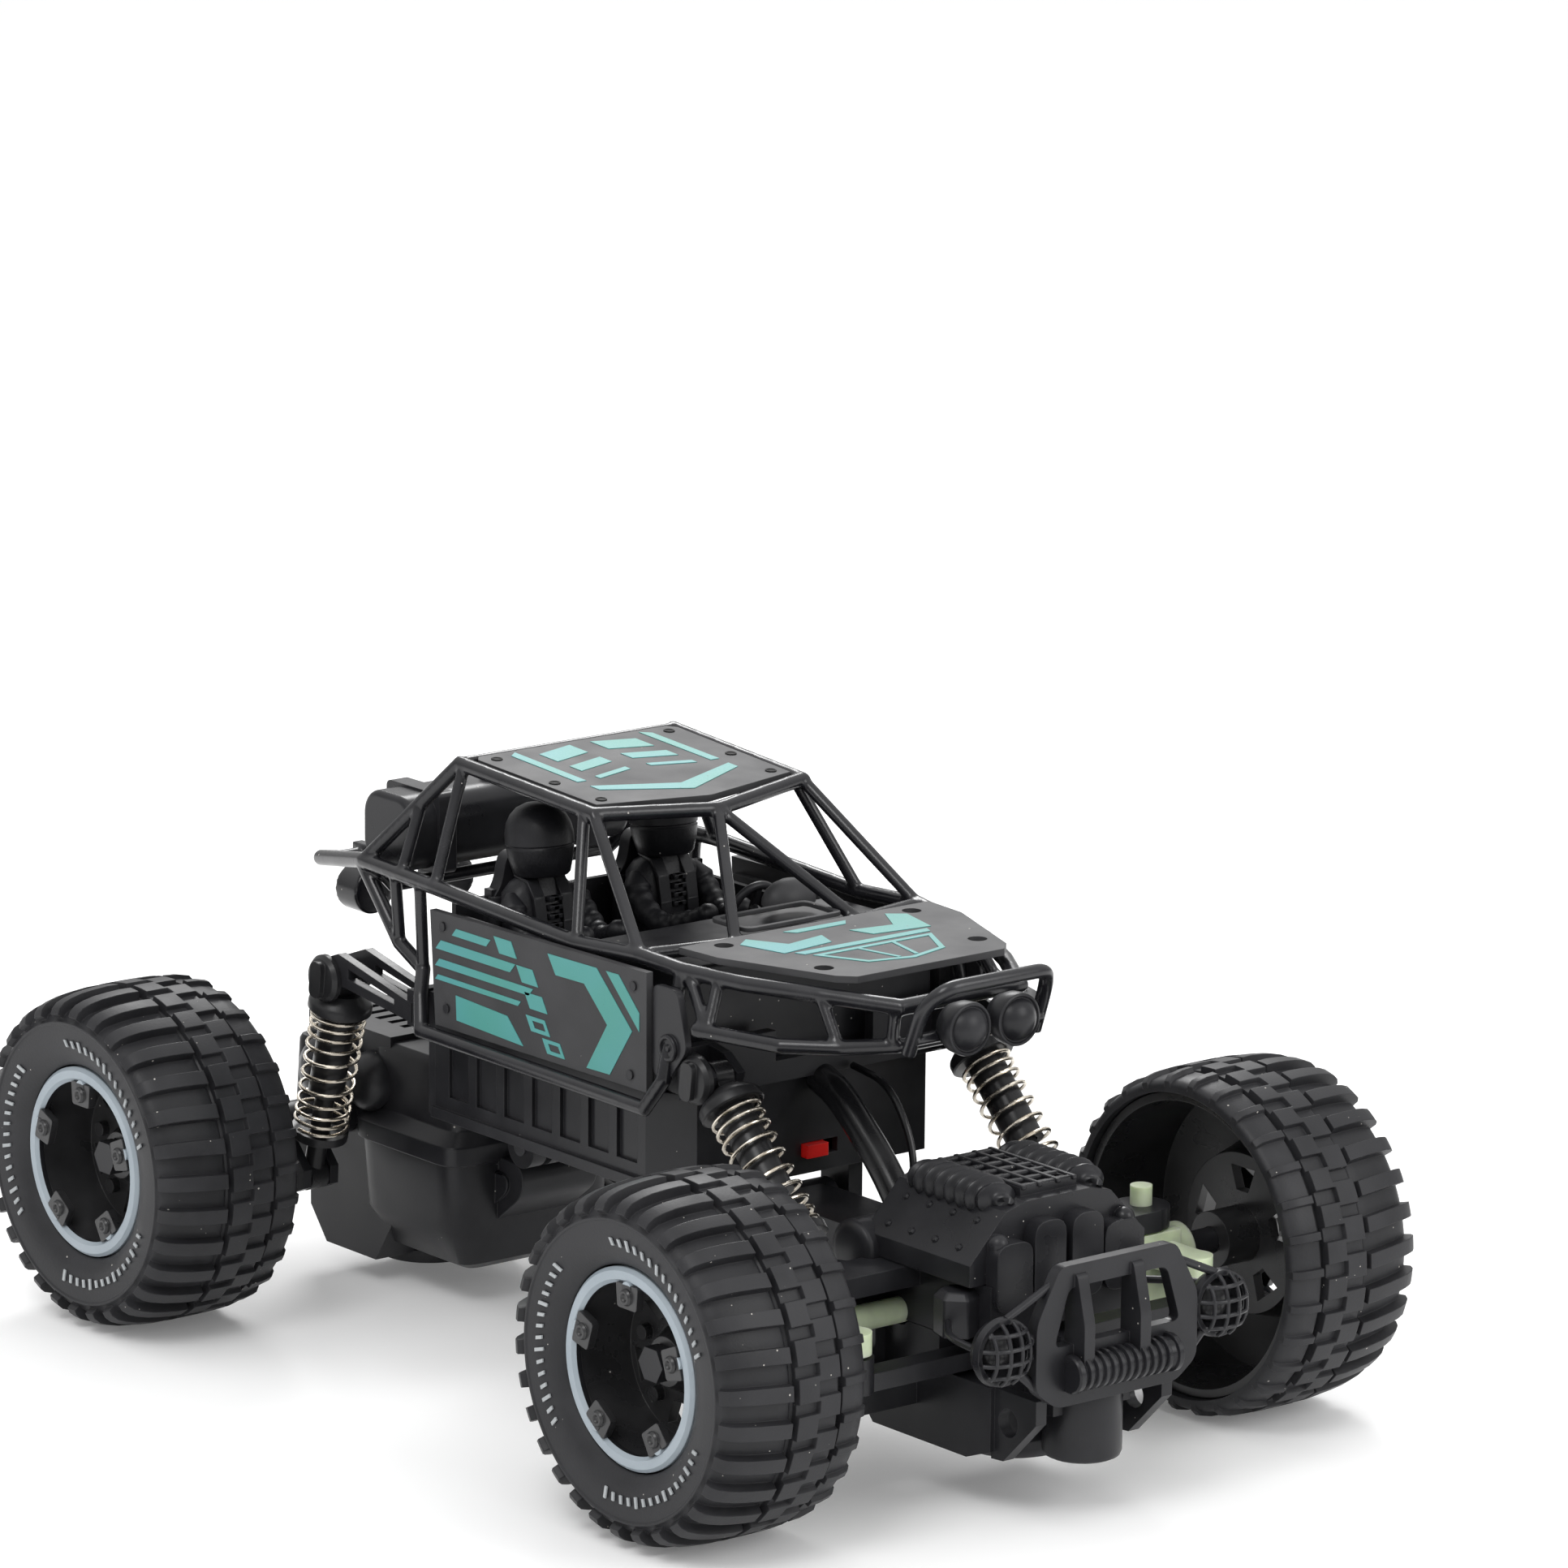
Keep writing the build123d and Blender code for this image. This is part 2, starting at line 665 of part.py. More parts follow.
def make_rear_shock_bracket():
    ear = [
        (-53.4, 77.0), (-53.4, 81.5), (-82.0, 87.5), (-90.0, 84.5), (-89.4, 79.0), (-85.0, 77.2),
        (-80.5, 80.0),
    ]
    window = [(-60.0, 79.8), (-60.0, 81.2), (-78.0, 84.6), (-78.0, 82.2)]
    with BuildPart() as bracket:
        block((-55.5, -52.8), (-42.5, 42.5), (76.0, 84.5))
        add_ears(ear, rear_shock_top, rear_shock_y)
        for side in sides.values():
            side_plate(window, (side * 32.0, side * 44.0), Mode.SUBTRACT)
    return bracket.part


def make_cable_sleeve():
    with BuildPart() as sleeve:
        bent_tube([(44.0, 0.0, 71.0), (54.0, 0.0, 72.0), (62.0, 0.0, 61.0)], 3.0)
    return sleeve.part


def make_body_screws():
    """Four small flush screws in each side panel."""
    head_radius = 1.1
    spots = [(-37.0, 84.0), (-38.5, 103.0), (31.5, 83.0), (32.5, 103.5)]
    with BuildPart() as screws:
        for side in sides.values():
            for x, z in spots:
                hinge_eye(x, z, (side * 44.9, side * 45.3), head_radius)
    return screws.part


# Front axle --------------------------------------------------------------------------------

def add_pivot_arm(pivot_x, box_x):
    """The swing arm from a gearbox to its pivot eye under the chassis."""
    block((pivot_x, box_x), (-9.0, 9.0), (pivot_z - 4.5, pivot_z + 4.5))
    hinge_eye(pivot_x, pivot_z, (-arm_half_width, arm_half_width), 5.0)
    hinge_eye(
        pivot_x, pivot_z, (-arm_half_width - 1, arm_half_width + 1),
        pivot_pin_radius + running, Mode.SUBTRACT,
    )


def add_kingpin_arm(side, x, z):
    block(x, (side * 20.0, side * kingpin_y), z)
    kingpin = (front_axle_x, side * kingpin_y)
    bar((*kingpin, z[0]), (*kingpin, z[1]), 6.5)
    bar((*kingpin, z[0] - 1), (*kingpin, z[1] + 1), kingpin_radius + running, Mode.SUBTRACT)


def make_front_gearbox_upper():
    half = 21.0
    inner = 19.2
    ear = [(93.5, 51.8), (86.5, 50.8), (84.8, 46.2), (88.2, 43.1), (91.5, 44.5), (93.5, 48.0)]
    with BuildPart() as box:
        block((82.5, 110.5), (-half, half), (38.2, 52.0))
        block((110.0, 128.0), (-half, half), (41.0, 52.0))
        block((84.3, 109.2), (-inner, inner), (38.0, 50.2), Mode.SUBTRACT)
        block((90.0, 126.2), (-inner, inner), (42.8, 53.0), Mode.SUBTRACT)
        for side in sides.values():
            add_kingpin_arm(side, (92.5, 104.0), (47.2, 52.0))
        add_ears(ear, front_shock_bottom, front_shock_y)
        add_pivot_arm(front_pivot_x, 83.5)
        hinge_eye(front_axle_x, axle_z, (-half - 1, half + 1), axle_radius + running, Mode.SUBTRACT)
    return box.part


def make_front_gearbox_lower():
    half = 20.7
    inner = 18.9
    outer_side = [
        (82.5, 38.0), (82.5, 18.0), (88.0, 12.0), (120.0, 12.0), (128.0, 15.0), (128.0, 29.5),
        (110.5, 29.5), (110.5, 38.0),
    ]
    inner_side = [(84.3, 39.0), (84.3, 19.0), (89.0, 14.0), (109.2, 14.0), (109.2, 39.0)]
    skid = [(127.0, 29.5), (127.0, 13.2), (131.0, 13.5), (141.7, 24.0), (141.7, 29.5)]
    with BuildPart() as box:
        side_plate(outer_side, (-half, half))
        side_plate(inner_side, (-inner, inner), Mode.SUBTRACT)
        for side in sides.values():
            add_kingpin_arm(side, (91.0, 103.0), (20.0, 25.5))
            side_plate(skid, (side * 16.5, side * 19.5))
            hinge_eye(132.5, 22.5, (side * 16.0, side * 20.0), 3.2, Mode.SUBTRACT)
        block((126.5, 137.5), (-11.0, 11.0), (23.5, 29.5))
        bar((crank_x, 0.0, 12.0), (crank_x, 0.0, 32.0), 7.4, Mode.SUBTRACT)
        hinge_eye(front_axle_x, axle_z, (-half - 1, half + 1), 3.4, Mode.SUBTRACT)
    return box.part


def make_engine_cover():
    outside = both_halves([
        (25.0, 52.2), (25.0, 57.0), (15.0, 67.5), (9.0, 69.0),
    ])
    inside = both_halves([
        (23.2, 51.0), (23.2, 56.3), (14.2, 65.7), (8.8, 67.2),
    ])
    with BuildPart() as cover:
        cross_plate(outside, (89.5, 125.5))
        cross_plate(inside, (91.3, 123.7), Mode.SUBTRACT)
        # Grill plate with slots, and ribs along both sloping faces.
        block((93.0, 122.0), (-8.0, 8.0), (68.8, 71.0))
        for step in range(6):
            x = 95.5 + 4.4 * step
            block((x, x + 2.0), (-6.0, 6.0), (70.0, 72.0), Mode.SUBTRACT)
        # Four upright pipes on the front face.
        for y in (-18.0, -6.5, 6.5, 18.0):
            bar((126.6, y, 53.0), (126.6, y, 61.0), 2.3)
            with Locations((126.6, y, 61.0)):
                Sphere(2.4)
    return cover.part


def make_front_bumper():
    frame = both_halves([(16.5, 60.0), (23.0, 48.0), (23.0, 33.0), (17.0, 28.5)])
    window = both_halves([(13.9, 54.3), (17.7, 42.2)])
    with BuildPart() as bumper:
        cross_plate(frame, (142.0, 145.0))
        cross_plate(window, (141.0, 146.0), Mode.SUBTRACT)
        for y in (-11.0, 5.0):
            bracket = [
                (143.0, 57.0), (143.0, 31.0), (147.0, 31.0), (149.4, 36.0), (149.4, 48.0),
                (146.5, 57.0),
            ]
            side_plate(bracket, (y - 1.5, y + 1.5))
        # Winch drum with an end flange on each side.
        hinge_eye(145.8, 36.0, (-14.0, 14.0), 3.6)
        for y in (-14.0, 12.5):
            hinge_eye(145.8, 36.0, (y, y + 1.5), 4.2)
        # Round head lamps on short arms.
        for side in sides.values():
            bar((143.5, side * 20.0, 45.0), (143.5, side * 27.0, 43.5), 1.8)
            bar((138.5, side * 31.0, 43.3), (145.5, side * 31.0, 43.3), 7.2)
            bar((137.0, side * 31.0, 43.3), (147.5, side * 31.0, 43.3), 5.4)
    return bumper.part


def make_steering_motor():
    with BuildPart() as motor:
        bar((crank_x, 0.0, 13.0), (crank_x, 0.0, 31.0), 7.2)
        chamfer(motor.faces().sort_by(Axis.Z)[0].edges(), 1.2)
        bar((crank_x, 0.0, 31.0), (crank_x, 0.0, 32.5), 3.0)
        bar((crank_x, 0.0, 23.5), (crank_x, 0.0, 33.0), 1.5 + running, Mode.SUBTRACT)
    return motor.part


def make_steering_crank():
    with BuildPart() as crank:
        block((crank_pin_x, crank_x), (-2.8, 2.8), (35.4, 38.4))
        bar((crank_x, 0.0, 35.4), (crank_x, 0.0, 38.4), 5.0)
        bar((crank_pin_x, 0.0, 35.4), (crank_pin_x, 0.0, 38.4), 3.2)
        bar((crank_pin_x, 0.0, 30.9), (crank_pin_x, 0.0, 36.0), tie_pin_radius)
        bar((crank_x, 0.0, 24.0), (crank_x, 0.0, 36.0), 1.5)
    return crank.part


def make_tie_rod():
    with BuildPart() as tie_rod:
        block((tie_pin_x - 3.0, tie_pin_x + 3.0), (-kingpin_y, kingpin_y), (31.0, 35.0))
        block((111.9, 123.0), (-5.5, 5.5), (31.0, 35.0))
        for side in sides.values():
            pin = (tie_pin_x, side * kingpin_y)
            bar((*pin, 31.0), (*pin, 39.0), 4.5)
            bar((*pin, 30.0), (*pin, 40.0), tie_pin_radius + running, Mode.SUBTRACT)
        # The crank's pin slides fore and aft in this slot as the rod swings sideways.
        slot = tie_pin_radius + running
        block((crank_pin_x - 0.3, crank_pin_x + 2.7), (-slot, slot), (30.0, 36.0), Mode.SUBTRACT)
        for x in (crank_pin_x - 0.3, crank_pin_x + 2.7):
            bar((x, 0.0, 30.0), (x, 0.0, 36.0), slot, Mode.SUBTRACT)
    return tie_rod.part


def make_knuckle(side):
    kingpin = (front_axle_x, side * kingpin_y)
    tie_pin = (tie_pin_x, side * kingpin_y)
    with BuildPart() as knuckle:
        block((90.0, 104.0), (side * 43.2, side * 55.0), (26.0, 46.8))
        hinge_eye(front_axle_x, axle_z, (side * 54.0, side * 60.5), 6.0)
        hinge_eye(front_axle_x, axle_z, (side * 42.0, side * 54.0), 5.6, Mode.SUBTRACT)
        hinge_eye(
            front_axle_x, axle_z, (side * 53.0, side * 61.0), axle_radius + running, Mode.SUBTRACT
        )
        bar((*kingpin, 46.0), (*kingpin, 56.5), kingpin_radius)
        bar((*kingpin, 19.0), (*kingpin, 26.5), kingpin_radius)
        block((103.0, tie_pin_x), (side * 45.6, side * 52.4), (39.5, 44.5))
        bar((*tie_pin, 39.5), (*tie_pin, 44.5), 4.0)
        bar((*tie_pin, 30.5), (*tie_pin, 40.0), tie_pin_radius)
    return knuckle.part


def make_front_drive_shaft():
    cup = (46.5, 51.5)
    with BuildPart() as shaft:
        hinge_eye(front_axle_x, axle_z, (-cup[0], cup[0]), axle_radius)
        large_gear(front_axle_x, front_mesh_angle)
        for side in sides.values():
            hinge_eye(front_axle_x, axle_z, (side * (cup[0] - 1.0), side * cup[1]), 4.2)
            hinge_eye(
                front_axle_x, axle_z, (side * (cup[0] - 0.5), side * (cup[1] + 1.0)), 3.3, Mode.SUBTRACT
            )
    return shaft.part


# Rear axle ---------------------------------------------------------------------------------

def make_rear_gearbox_upper():
    half = 21.0
    inner = 19.2
    ear = [
        (-111.0, 44.5), (-104.5, 41.0), (-96.0, 32.0), (-96.2, 27.6), (-99.5, 26.1), (-103.5, 27.5),
        (-114.5, 38.0),
    ]
    with BuildPart() as box:
        block((-124.5, -91.5), (-half, half), (38.2, 62.0))
        add_pivot_arm(rear_pivot_x, -92.0)
        block((-122.7, -93.3), (-inner, inner), (38.0, 60.2), Mode.SUBTRACT)
        for step in range(5):
            x = -119.0 + 5.0 * step
            block((x, x + 2.2), (-13.0, 13.0), (61.2, 63.0), Mode.SUBTRACT)
        for side in sides.values():
            hinge_eye(rear_axle_x, axle_z, (side * 20.9, side * 57.5), 5.0)
        add_ears(ear, rear_shock_bottom, rear_shock_y)
        hinge_eye(rear_axle_x, axle_z, (-60.0, 60.0), axle_radius + running, Mode.SUBTRACT)
    return box.part


def make_rear_gearbox_lower():
    half = 20.7
    inner = 18.9
    outer_side = [
        (-91.5, 38.0), (-91.5, 16.0), (-98.0, 6.0), (-118.0, 6.0), (-124.5, 14.0), (-124.5, 38.0),
    ]
    inner_side = [
        (-93.3, 39.0), (-93.3, 16.5), (-99.0, 8.0), (-117.2, 8.0), (-122.7, 14.8), (-122.7, 39.0),
    ]
    with BuildPart() as box:
        side_plate(outer_side, (-half, half))
        side_plate(inner_side, (-inner, inner), Mode.SUBTRACT)
        side_plate([(-92.5, 18.0), (-62.0, 32.0), (-54.0, 37.9), (-92.5, 37.9)], (-8.0, 8.0))
        bar((-104.5, 0.0, 3.5), (-104.5, 0.0, 6.5), 12.0)
        hinge_eye(rear_axle_x, axle_z, (-half - 1, half + 1), 3.4, Mode.SUBTRACT)
    return box.part


def make_rear_axle_shaft():
    with BuildPart() as shaft:
        hinge_eye(rear_axle_x, axle_z, (-88.0, 88.0), axle_radius)
        large_gear(rear_axle_x, rear_mesh_angle)
        for side in sides.values():
            add_wheel_nut(rear_axle_x, side)
    return shaft.part


# Every piece -------------------------------------------------------------------------------

save(make_chassis_tub(), "chassis_tub")
save(make_pivot_pins(), "axle_pivot_pins")
save(make_battery_door(), "battery_door")
save(make_power_switch(), "power_switch")
save(make_battery_cells(), "battery_cells")
save(make_circuit_board(), "circuit_board")
save(make_roll_cage(), "roll_cage")
save(make_roof_panel(), "roof_panel")
save(make_hood_panel(), "hood_panel")
save(make_light_bar(), "light_bar")
save(make_cockpit_tub(), "cockpit_tub")
save(make_figure(-36.0, 18.0), "driver_figure")
save(make_figure(-36.0, -18.0), "passenger_figure")
save(make_fuel_tank(), "fuel_tank")
save(make_front_shock_bracket(), "front_shock_bracket")
save(make_rear_shock_bracket(), "rear_shock_bracket")
save(make_cable_sleeve(), "cable_sleeve")
save(make_body_screws(), "body_screws")

save(make_front_gearbox_upper(), "front_gearbox_upper")
save(make_front_gearbox_lower(), "front_gearbox_lower")
save(make_engine_cover(), "engine_cover")
save(make_front_bumper(), "front_bumper")
save(make_motor(front_axle_x, front_mesh_angle), "front_motor")
save(make_pinion(front_axle_x, front_mesh_angle), "front_motor_pinion")
save(make_front_drive_shaft(), "front_drive_shaft")
save(make_steering_motor(), "steering_motor")
save(make_steering_crank(), "steering_crank")
save(make_tie_rod(), "tie_rod")

save(make_rear_gearbox_upper(), "rear_gearbox_upper")
save(make_rear_gearbox_lower(), "rear_gearbox_lower")
save(make_motor(rear_axle_x, rear_mesh_angle), "rear_motor")
save(make_pinion(rear_axle_x, rear_mesh_angle), "rear_motor_pinion")
save(make_rear_axle_shaft(), "rear_axle_shaft")
save(make_bead_rings(rear_axle_x, sides.values()), "rear_bead_rings")

save(make_springs(front_shock_top, front_shock_bottom, front_shock_y), "front_springs")
save(make_springs(rear_shock_top, rear_shock_bottom, rear_shock_y), "rear_springs")

for name, side in sides.items():
    save(make_side_panel(side), f"side_panel_{name}")
    save(make_knuckle(side), f"knuckle_{name}")
    save(make_front_stub_axle(side), f"front_stub_axle_{name}")

    shocks = {
        "front": (front_shock_top, front_shock_bottom, side * front_shock_y),
        "rear": (rear_shock_top, rear_shock_bottom, side * rear_shock_y),
    }
    for end, place in shocks.items():
        save(make_shock_barrel(*place), f"{end}_shock_barrel_{name}")
        save(make_shock_rod(*place), f"{end}_shock_rod_{name}")

    for end, axle_x in (("front", front_axle_x), ("rear", rear_axle_x)):
        save(make_tyre(axle_x, side), f"{end}_tyre_{name}")
        save(make_rim(axle_x, side), f"{end}_rim_{name}")
    save(make_bead_rings(front_axle_x, [side]), f"front_bead_ring_{name}")
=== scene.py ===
import json
import math

import bmesh
import bpy
from mathutils import Matrix, Vector, geometry


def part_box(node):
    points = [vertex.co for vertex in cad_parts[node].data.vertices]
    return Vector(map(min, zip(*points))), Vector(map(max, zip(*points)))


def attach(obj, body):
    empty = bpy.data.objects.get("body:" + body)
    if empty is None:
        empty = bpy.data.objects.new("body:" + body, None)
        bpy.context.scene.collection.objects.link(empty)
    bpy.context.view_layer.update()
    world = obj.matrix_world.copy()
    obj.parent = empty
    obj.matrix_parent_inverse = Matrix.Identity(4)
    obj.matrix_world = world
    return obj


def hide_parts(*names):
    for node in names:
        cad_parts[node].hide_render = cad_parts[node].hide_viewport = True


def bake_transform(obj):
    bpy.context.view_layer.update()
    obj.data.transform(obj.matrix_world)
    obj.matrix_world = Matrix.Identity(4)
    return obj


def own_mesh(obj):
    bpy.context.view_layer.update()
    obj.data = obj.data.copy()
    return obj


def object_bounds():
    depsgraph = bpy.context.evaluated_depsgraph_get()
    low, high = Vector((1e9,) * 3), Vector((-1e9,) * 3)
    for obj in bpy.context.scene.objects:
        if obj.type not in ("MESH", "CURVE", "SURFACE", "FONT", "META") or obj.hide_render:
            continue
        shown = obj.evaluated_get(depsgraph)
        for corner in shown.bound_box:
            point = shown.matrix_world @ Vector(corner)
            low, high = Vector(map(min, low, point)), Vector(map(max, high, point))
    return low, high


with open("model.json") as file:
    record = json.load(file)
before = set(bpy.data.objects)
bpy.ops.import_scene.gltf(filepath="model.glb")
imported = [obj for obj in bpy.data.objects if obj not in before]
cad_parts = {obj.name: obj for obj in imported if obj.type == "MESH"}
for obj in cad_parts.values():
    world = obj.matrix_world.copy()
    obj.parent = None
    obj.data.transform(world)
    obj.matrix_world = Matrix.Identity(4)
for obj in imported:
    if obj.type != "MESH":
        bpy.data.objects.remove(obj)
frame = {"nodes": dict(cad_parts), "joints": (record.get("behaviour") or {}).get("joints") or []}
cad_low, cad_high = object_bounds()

# Shapes are worked out in millimetres and scaled to metres when a piece is made.
MM = 0.001
SIDES = {"right": -1, "left": 1}
FORWARD, LEFT, UP = (1, 0, 0), (0, 1, 0), (0, 0, 1)
# Points closer than this are welded into one.
WELD = 0.002


# --- Places from the frame


def low(node):
    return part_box(node)[0] / MM


def high(node):
    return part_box(node)[1] / MM


def middle(node):
    return (low(node) + high(node)) / 2


joints = {joint["name"]: joint for joint in frame["joints"]}
pivots = {
    name: Vector(joint["pos_m"]) / MM for name, joint in joints.items() if "pos_m" in joint
}


# --- Shapes: each is a list of points and a list of faces


def rounded(path, reach, steps=6):
    """The path with every inner corner turned into a curve that starts `reach` before it."""
    path = [Vector(point) for point in path]
    # A curve takes less than half of a stretch, so two curves never meet.
    most = 0.48
    result = [path[0]]
    for before, corner, after in zip(path, path[1:], path[2:]):
        back = before - corner
        ahead = after - corner
        start = corner + back.normalized() * min(reach, back.length * most)
        end = corner + ahead.normalized() * min(reach, ahead.length * most)
        for step in range(steps + 1):
            t = step / steps
            result.append(start * (1 - t) ** 2 + corner * 2 * t * (1 - t) + end * t ** 2)
    result.append(path[-1])
    return result


def carried_across(path):
    """The path, carried on through its mirror image to the car's other side."""
    return list(path) + [(x, -y, z) for x, y, z in reversed(path)]


def turned_pair(profile, place, axis, steps=40):
    """The profile turned at a place on the left, and its mirror image on the right."""
    x, y, z = place
    return [
        turned(profile, (x, side * y, z), (axis[0], side * axis[1], axis[2]), steps)
        for side in SIDES.values()
    ]


def ring_faces(count, around, capped=True):
    """Faces that join rings of `around` points into a bar, and close its two ends."""
    faces = []
    for first in range(0, count - around, around):
        second = first + around
        for step in range(around):
            following = (step + 1) % around
            faces.append((first + step, first + following, second + following, second + step))
    if capped:
        faces.append(tuple(reversed(range(around))))
        faces.append(tuple(range(count - around, count)))
    return faces


def wrapped_faces(turns, count, closed=True):
    """Faces that join profiles of `count` points, repeated right round an axis."""
    faces = []
    for turn in range(turns):
        this = turn * count
        following = (turn + 1) % turns * count
        for index in range(count if closed else count - 1):
            beyond = (index + 1) % count
            faces.append((this + index, this + beyond, following + beyond, following + index))
    return faces


def tube(path, radius, sides=14):
    """A round bar along the path. The radius may be a list with one value for each point."""
    path = [Vector(point) for point in path]
    radii = radius if isinstance(radius, list) else [radius] * len(path)
    points = []
    normal = None
    for index, point in enumerate(path):
        ahead = path[min(index + 1, len(path) - 1)]
        behind = path[max(index - 1, 0)]
        along = (ahead - behind).normalized()
        if normal is None:
            normal = along.orthogonal().normalized()
        normal = (normal - along * normal.dot(along)).normalized()
        across = along.cross(normal)
        for step in range(sides):
            angle = 2 * math.pi * step / sides
            outward = normal * math.cos(angle) + across * math.sin(angle)
            points.append(point + outward * radii[index])
    return points, ring_faces(len(points), sides)


def turned(profile, origin, axis, steps=40):
    """A profile of (along, radius) pairs turned about an axis through the origin.

    A profile that starts and ends on the axis is left open there, and any other is closed.
    """
    closed = max(profile[0][1], profile[-1][1]) > 0
    origin = Vector(origin)
    axis = Vector(axis).normalized()
    side = axis.orthogonal().normalized()
    if abs(axis.z) < 0.9:
        side = (Vector(UP) - axis * axis.z).normalized()
    across = axis.cross(side)
    points = []
    for step in range(steps):
        angle = 2 * math.pi * step / steps
        outward = side * math.cos(angle) + across * math.sin(angle)
        points.extend(origin + axis * along + outward * radius for along, radius in profile)
    return points, wrapped_faces(steps, len(profile), closed)


def slab(outline, place, thickness, hole=None):
    """A flat plate: place(a, b, depth) puts the outline's points in space."""
    loops = [[Vector((a, b, 0)) for a, b in loop] for loop in (outline, hole) if loop]
    triangles = geometry.tessellate_polygon(loops)
    flat = sum(loops, [])
    count = len(flat)
    points = [Vector(place(p.x, p.y, depth)) for depth in (0, thickness) for p in flat]
    faces = [tuple(triangle) for triangle in triangles]
    faces += [tuple(index + count for index in reversed(triangle)) for triangle in triangles]
    start = 0
    for loop in loops:
        for index in range(len(loop)):
            here = start + index
            there = start + (index + 1) % len(loop)
            faces.append((here, there, there + count, here + count))
        start += len(loop)
    return points, faces


def loft(sections, steps=28, power=2.6):
    """Rounded sections, each (centre, half size along x, half size along y), joined upwards."""
    points = []
    for centre, half_x, half_y in sections:
        for step in range(steps):
            angle = 2 * math.pi * step / steps
            cosine, sine = math.cos(angle), math.sin(angle)
            x = half_x * math.copysign(abs(cosine) ** (2 / power), cosine)
            y = half_y * math.copysign(abs(sine) ** (2 / power), sine)
            points.append(Vector(centre) + Vector((x, y, 0)))
    return points, ring_faces(len(points), steps)


def box_shape(lowest, highest):
    (x0, y0, z0), (x1, y1, z1) = lowest, highest
    return slab([(x0, y0), (x1, y0), (x1, y1), (x0, y1)], lambda a, b, c: (a, b, z0 + c), z1 - z0)


def facing_forward(x):
    """A place for a slab: its outline is (y, z) and its thickness runs forward from x."""
    return lambda a, b, c: (x + c, a, b)


def facing_side(y):
    """A place for a slab: its outline is (x, z) and its thickness runs to the left from y."""
    return lambda a, b, c: (a, y + c, b)


def both_halves(outline):
    """An outline given for one half as (across, up) pairs, with its mirror image added."""
    return list(outline) + [(-across, up) for across, up in reversed(outline)]


def softened(outline, reach, steps=4):
    """A closed flat outline with its corners turned into curves."""
    corners = [Vector((a, b, 0)) for a, b in outline]
    result = []
    for index, corner in enumerate(corners):
        before = corners[index - 1]
        after = corners[(index + 1) % len(corners)]
        result += rounded([before, corner, after], reach, steps)[1:-1]
    return [(point.x, point.y) for point in result]


def in_scene(name, data):
    made = bpy.data.objects.new(name, data)
    bpy.context.scene.collection.objects.link(made)
    return made


def piece(name, body, shapes, slot, bevel=0.0, sharp=35.0, look=None, stands_for=None):
    """A closed mesh made of the shapes, riding on a body.

    It has the slot's finish unless `look` names another, and may stand for a CAD node.
    """
    points, faces = [], []
    for shape_points, shape_faces in shapes:
        offset = len(points)
        points += [point * MM for point in shape_points]
        faces += [tuple(index + offset for index in face) for face in shape_faces]
    mesh = bpy.data.meshes.new(name)
    mesh.from_pydata(points, [], faces)
    cleaned = bmesh.new()
    cleaned.from_mesh(mesh)
    bmesh.ops.remove_doubles(cleaned, verts=cleaned.verts, dist=WELD * MM)
    bmesh.ops.recalc_face_normals(cleaned, faces=cleaned.faces)
    cleaned.to_mesh(mesh)
    cleaned.free()
    mesh.polygons.foreach_set("use_smooth", [True] * len(mesh.polygons))
    mesh.set_sharp_from_angle(angle=math.radians(sharp))
    mesh.materials.append(finishes[look or slot])
    made = in_scene(name, mesh)
    if bevel:
        rounding = made.modifiers.new("rounded_edges", "BEVEL")
        rounding.width = bevel * MM
        rounding.segments = 2
        rounding.limit_method = "ANGLE"
        rounding.angle_limit = math.radians(40)
    if body:
        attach(made, body)
    if stands_for:
        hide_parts(stands_for)
    return made


# --- Materials

finishes = {}


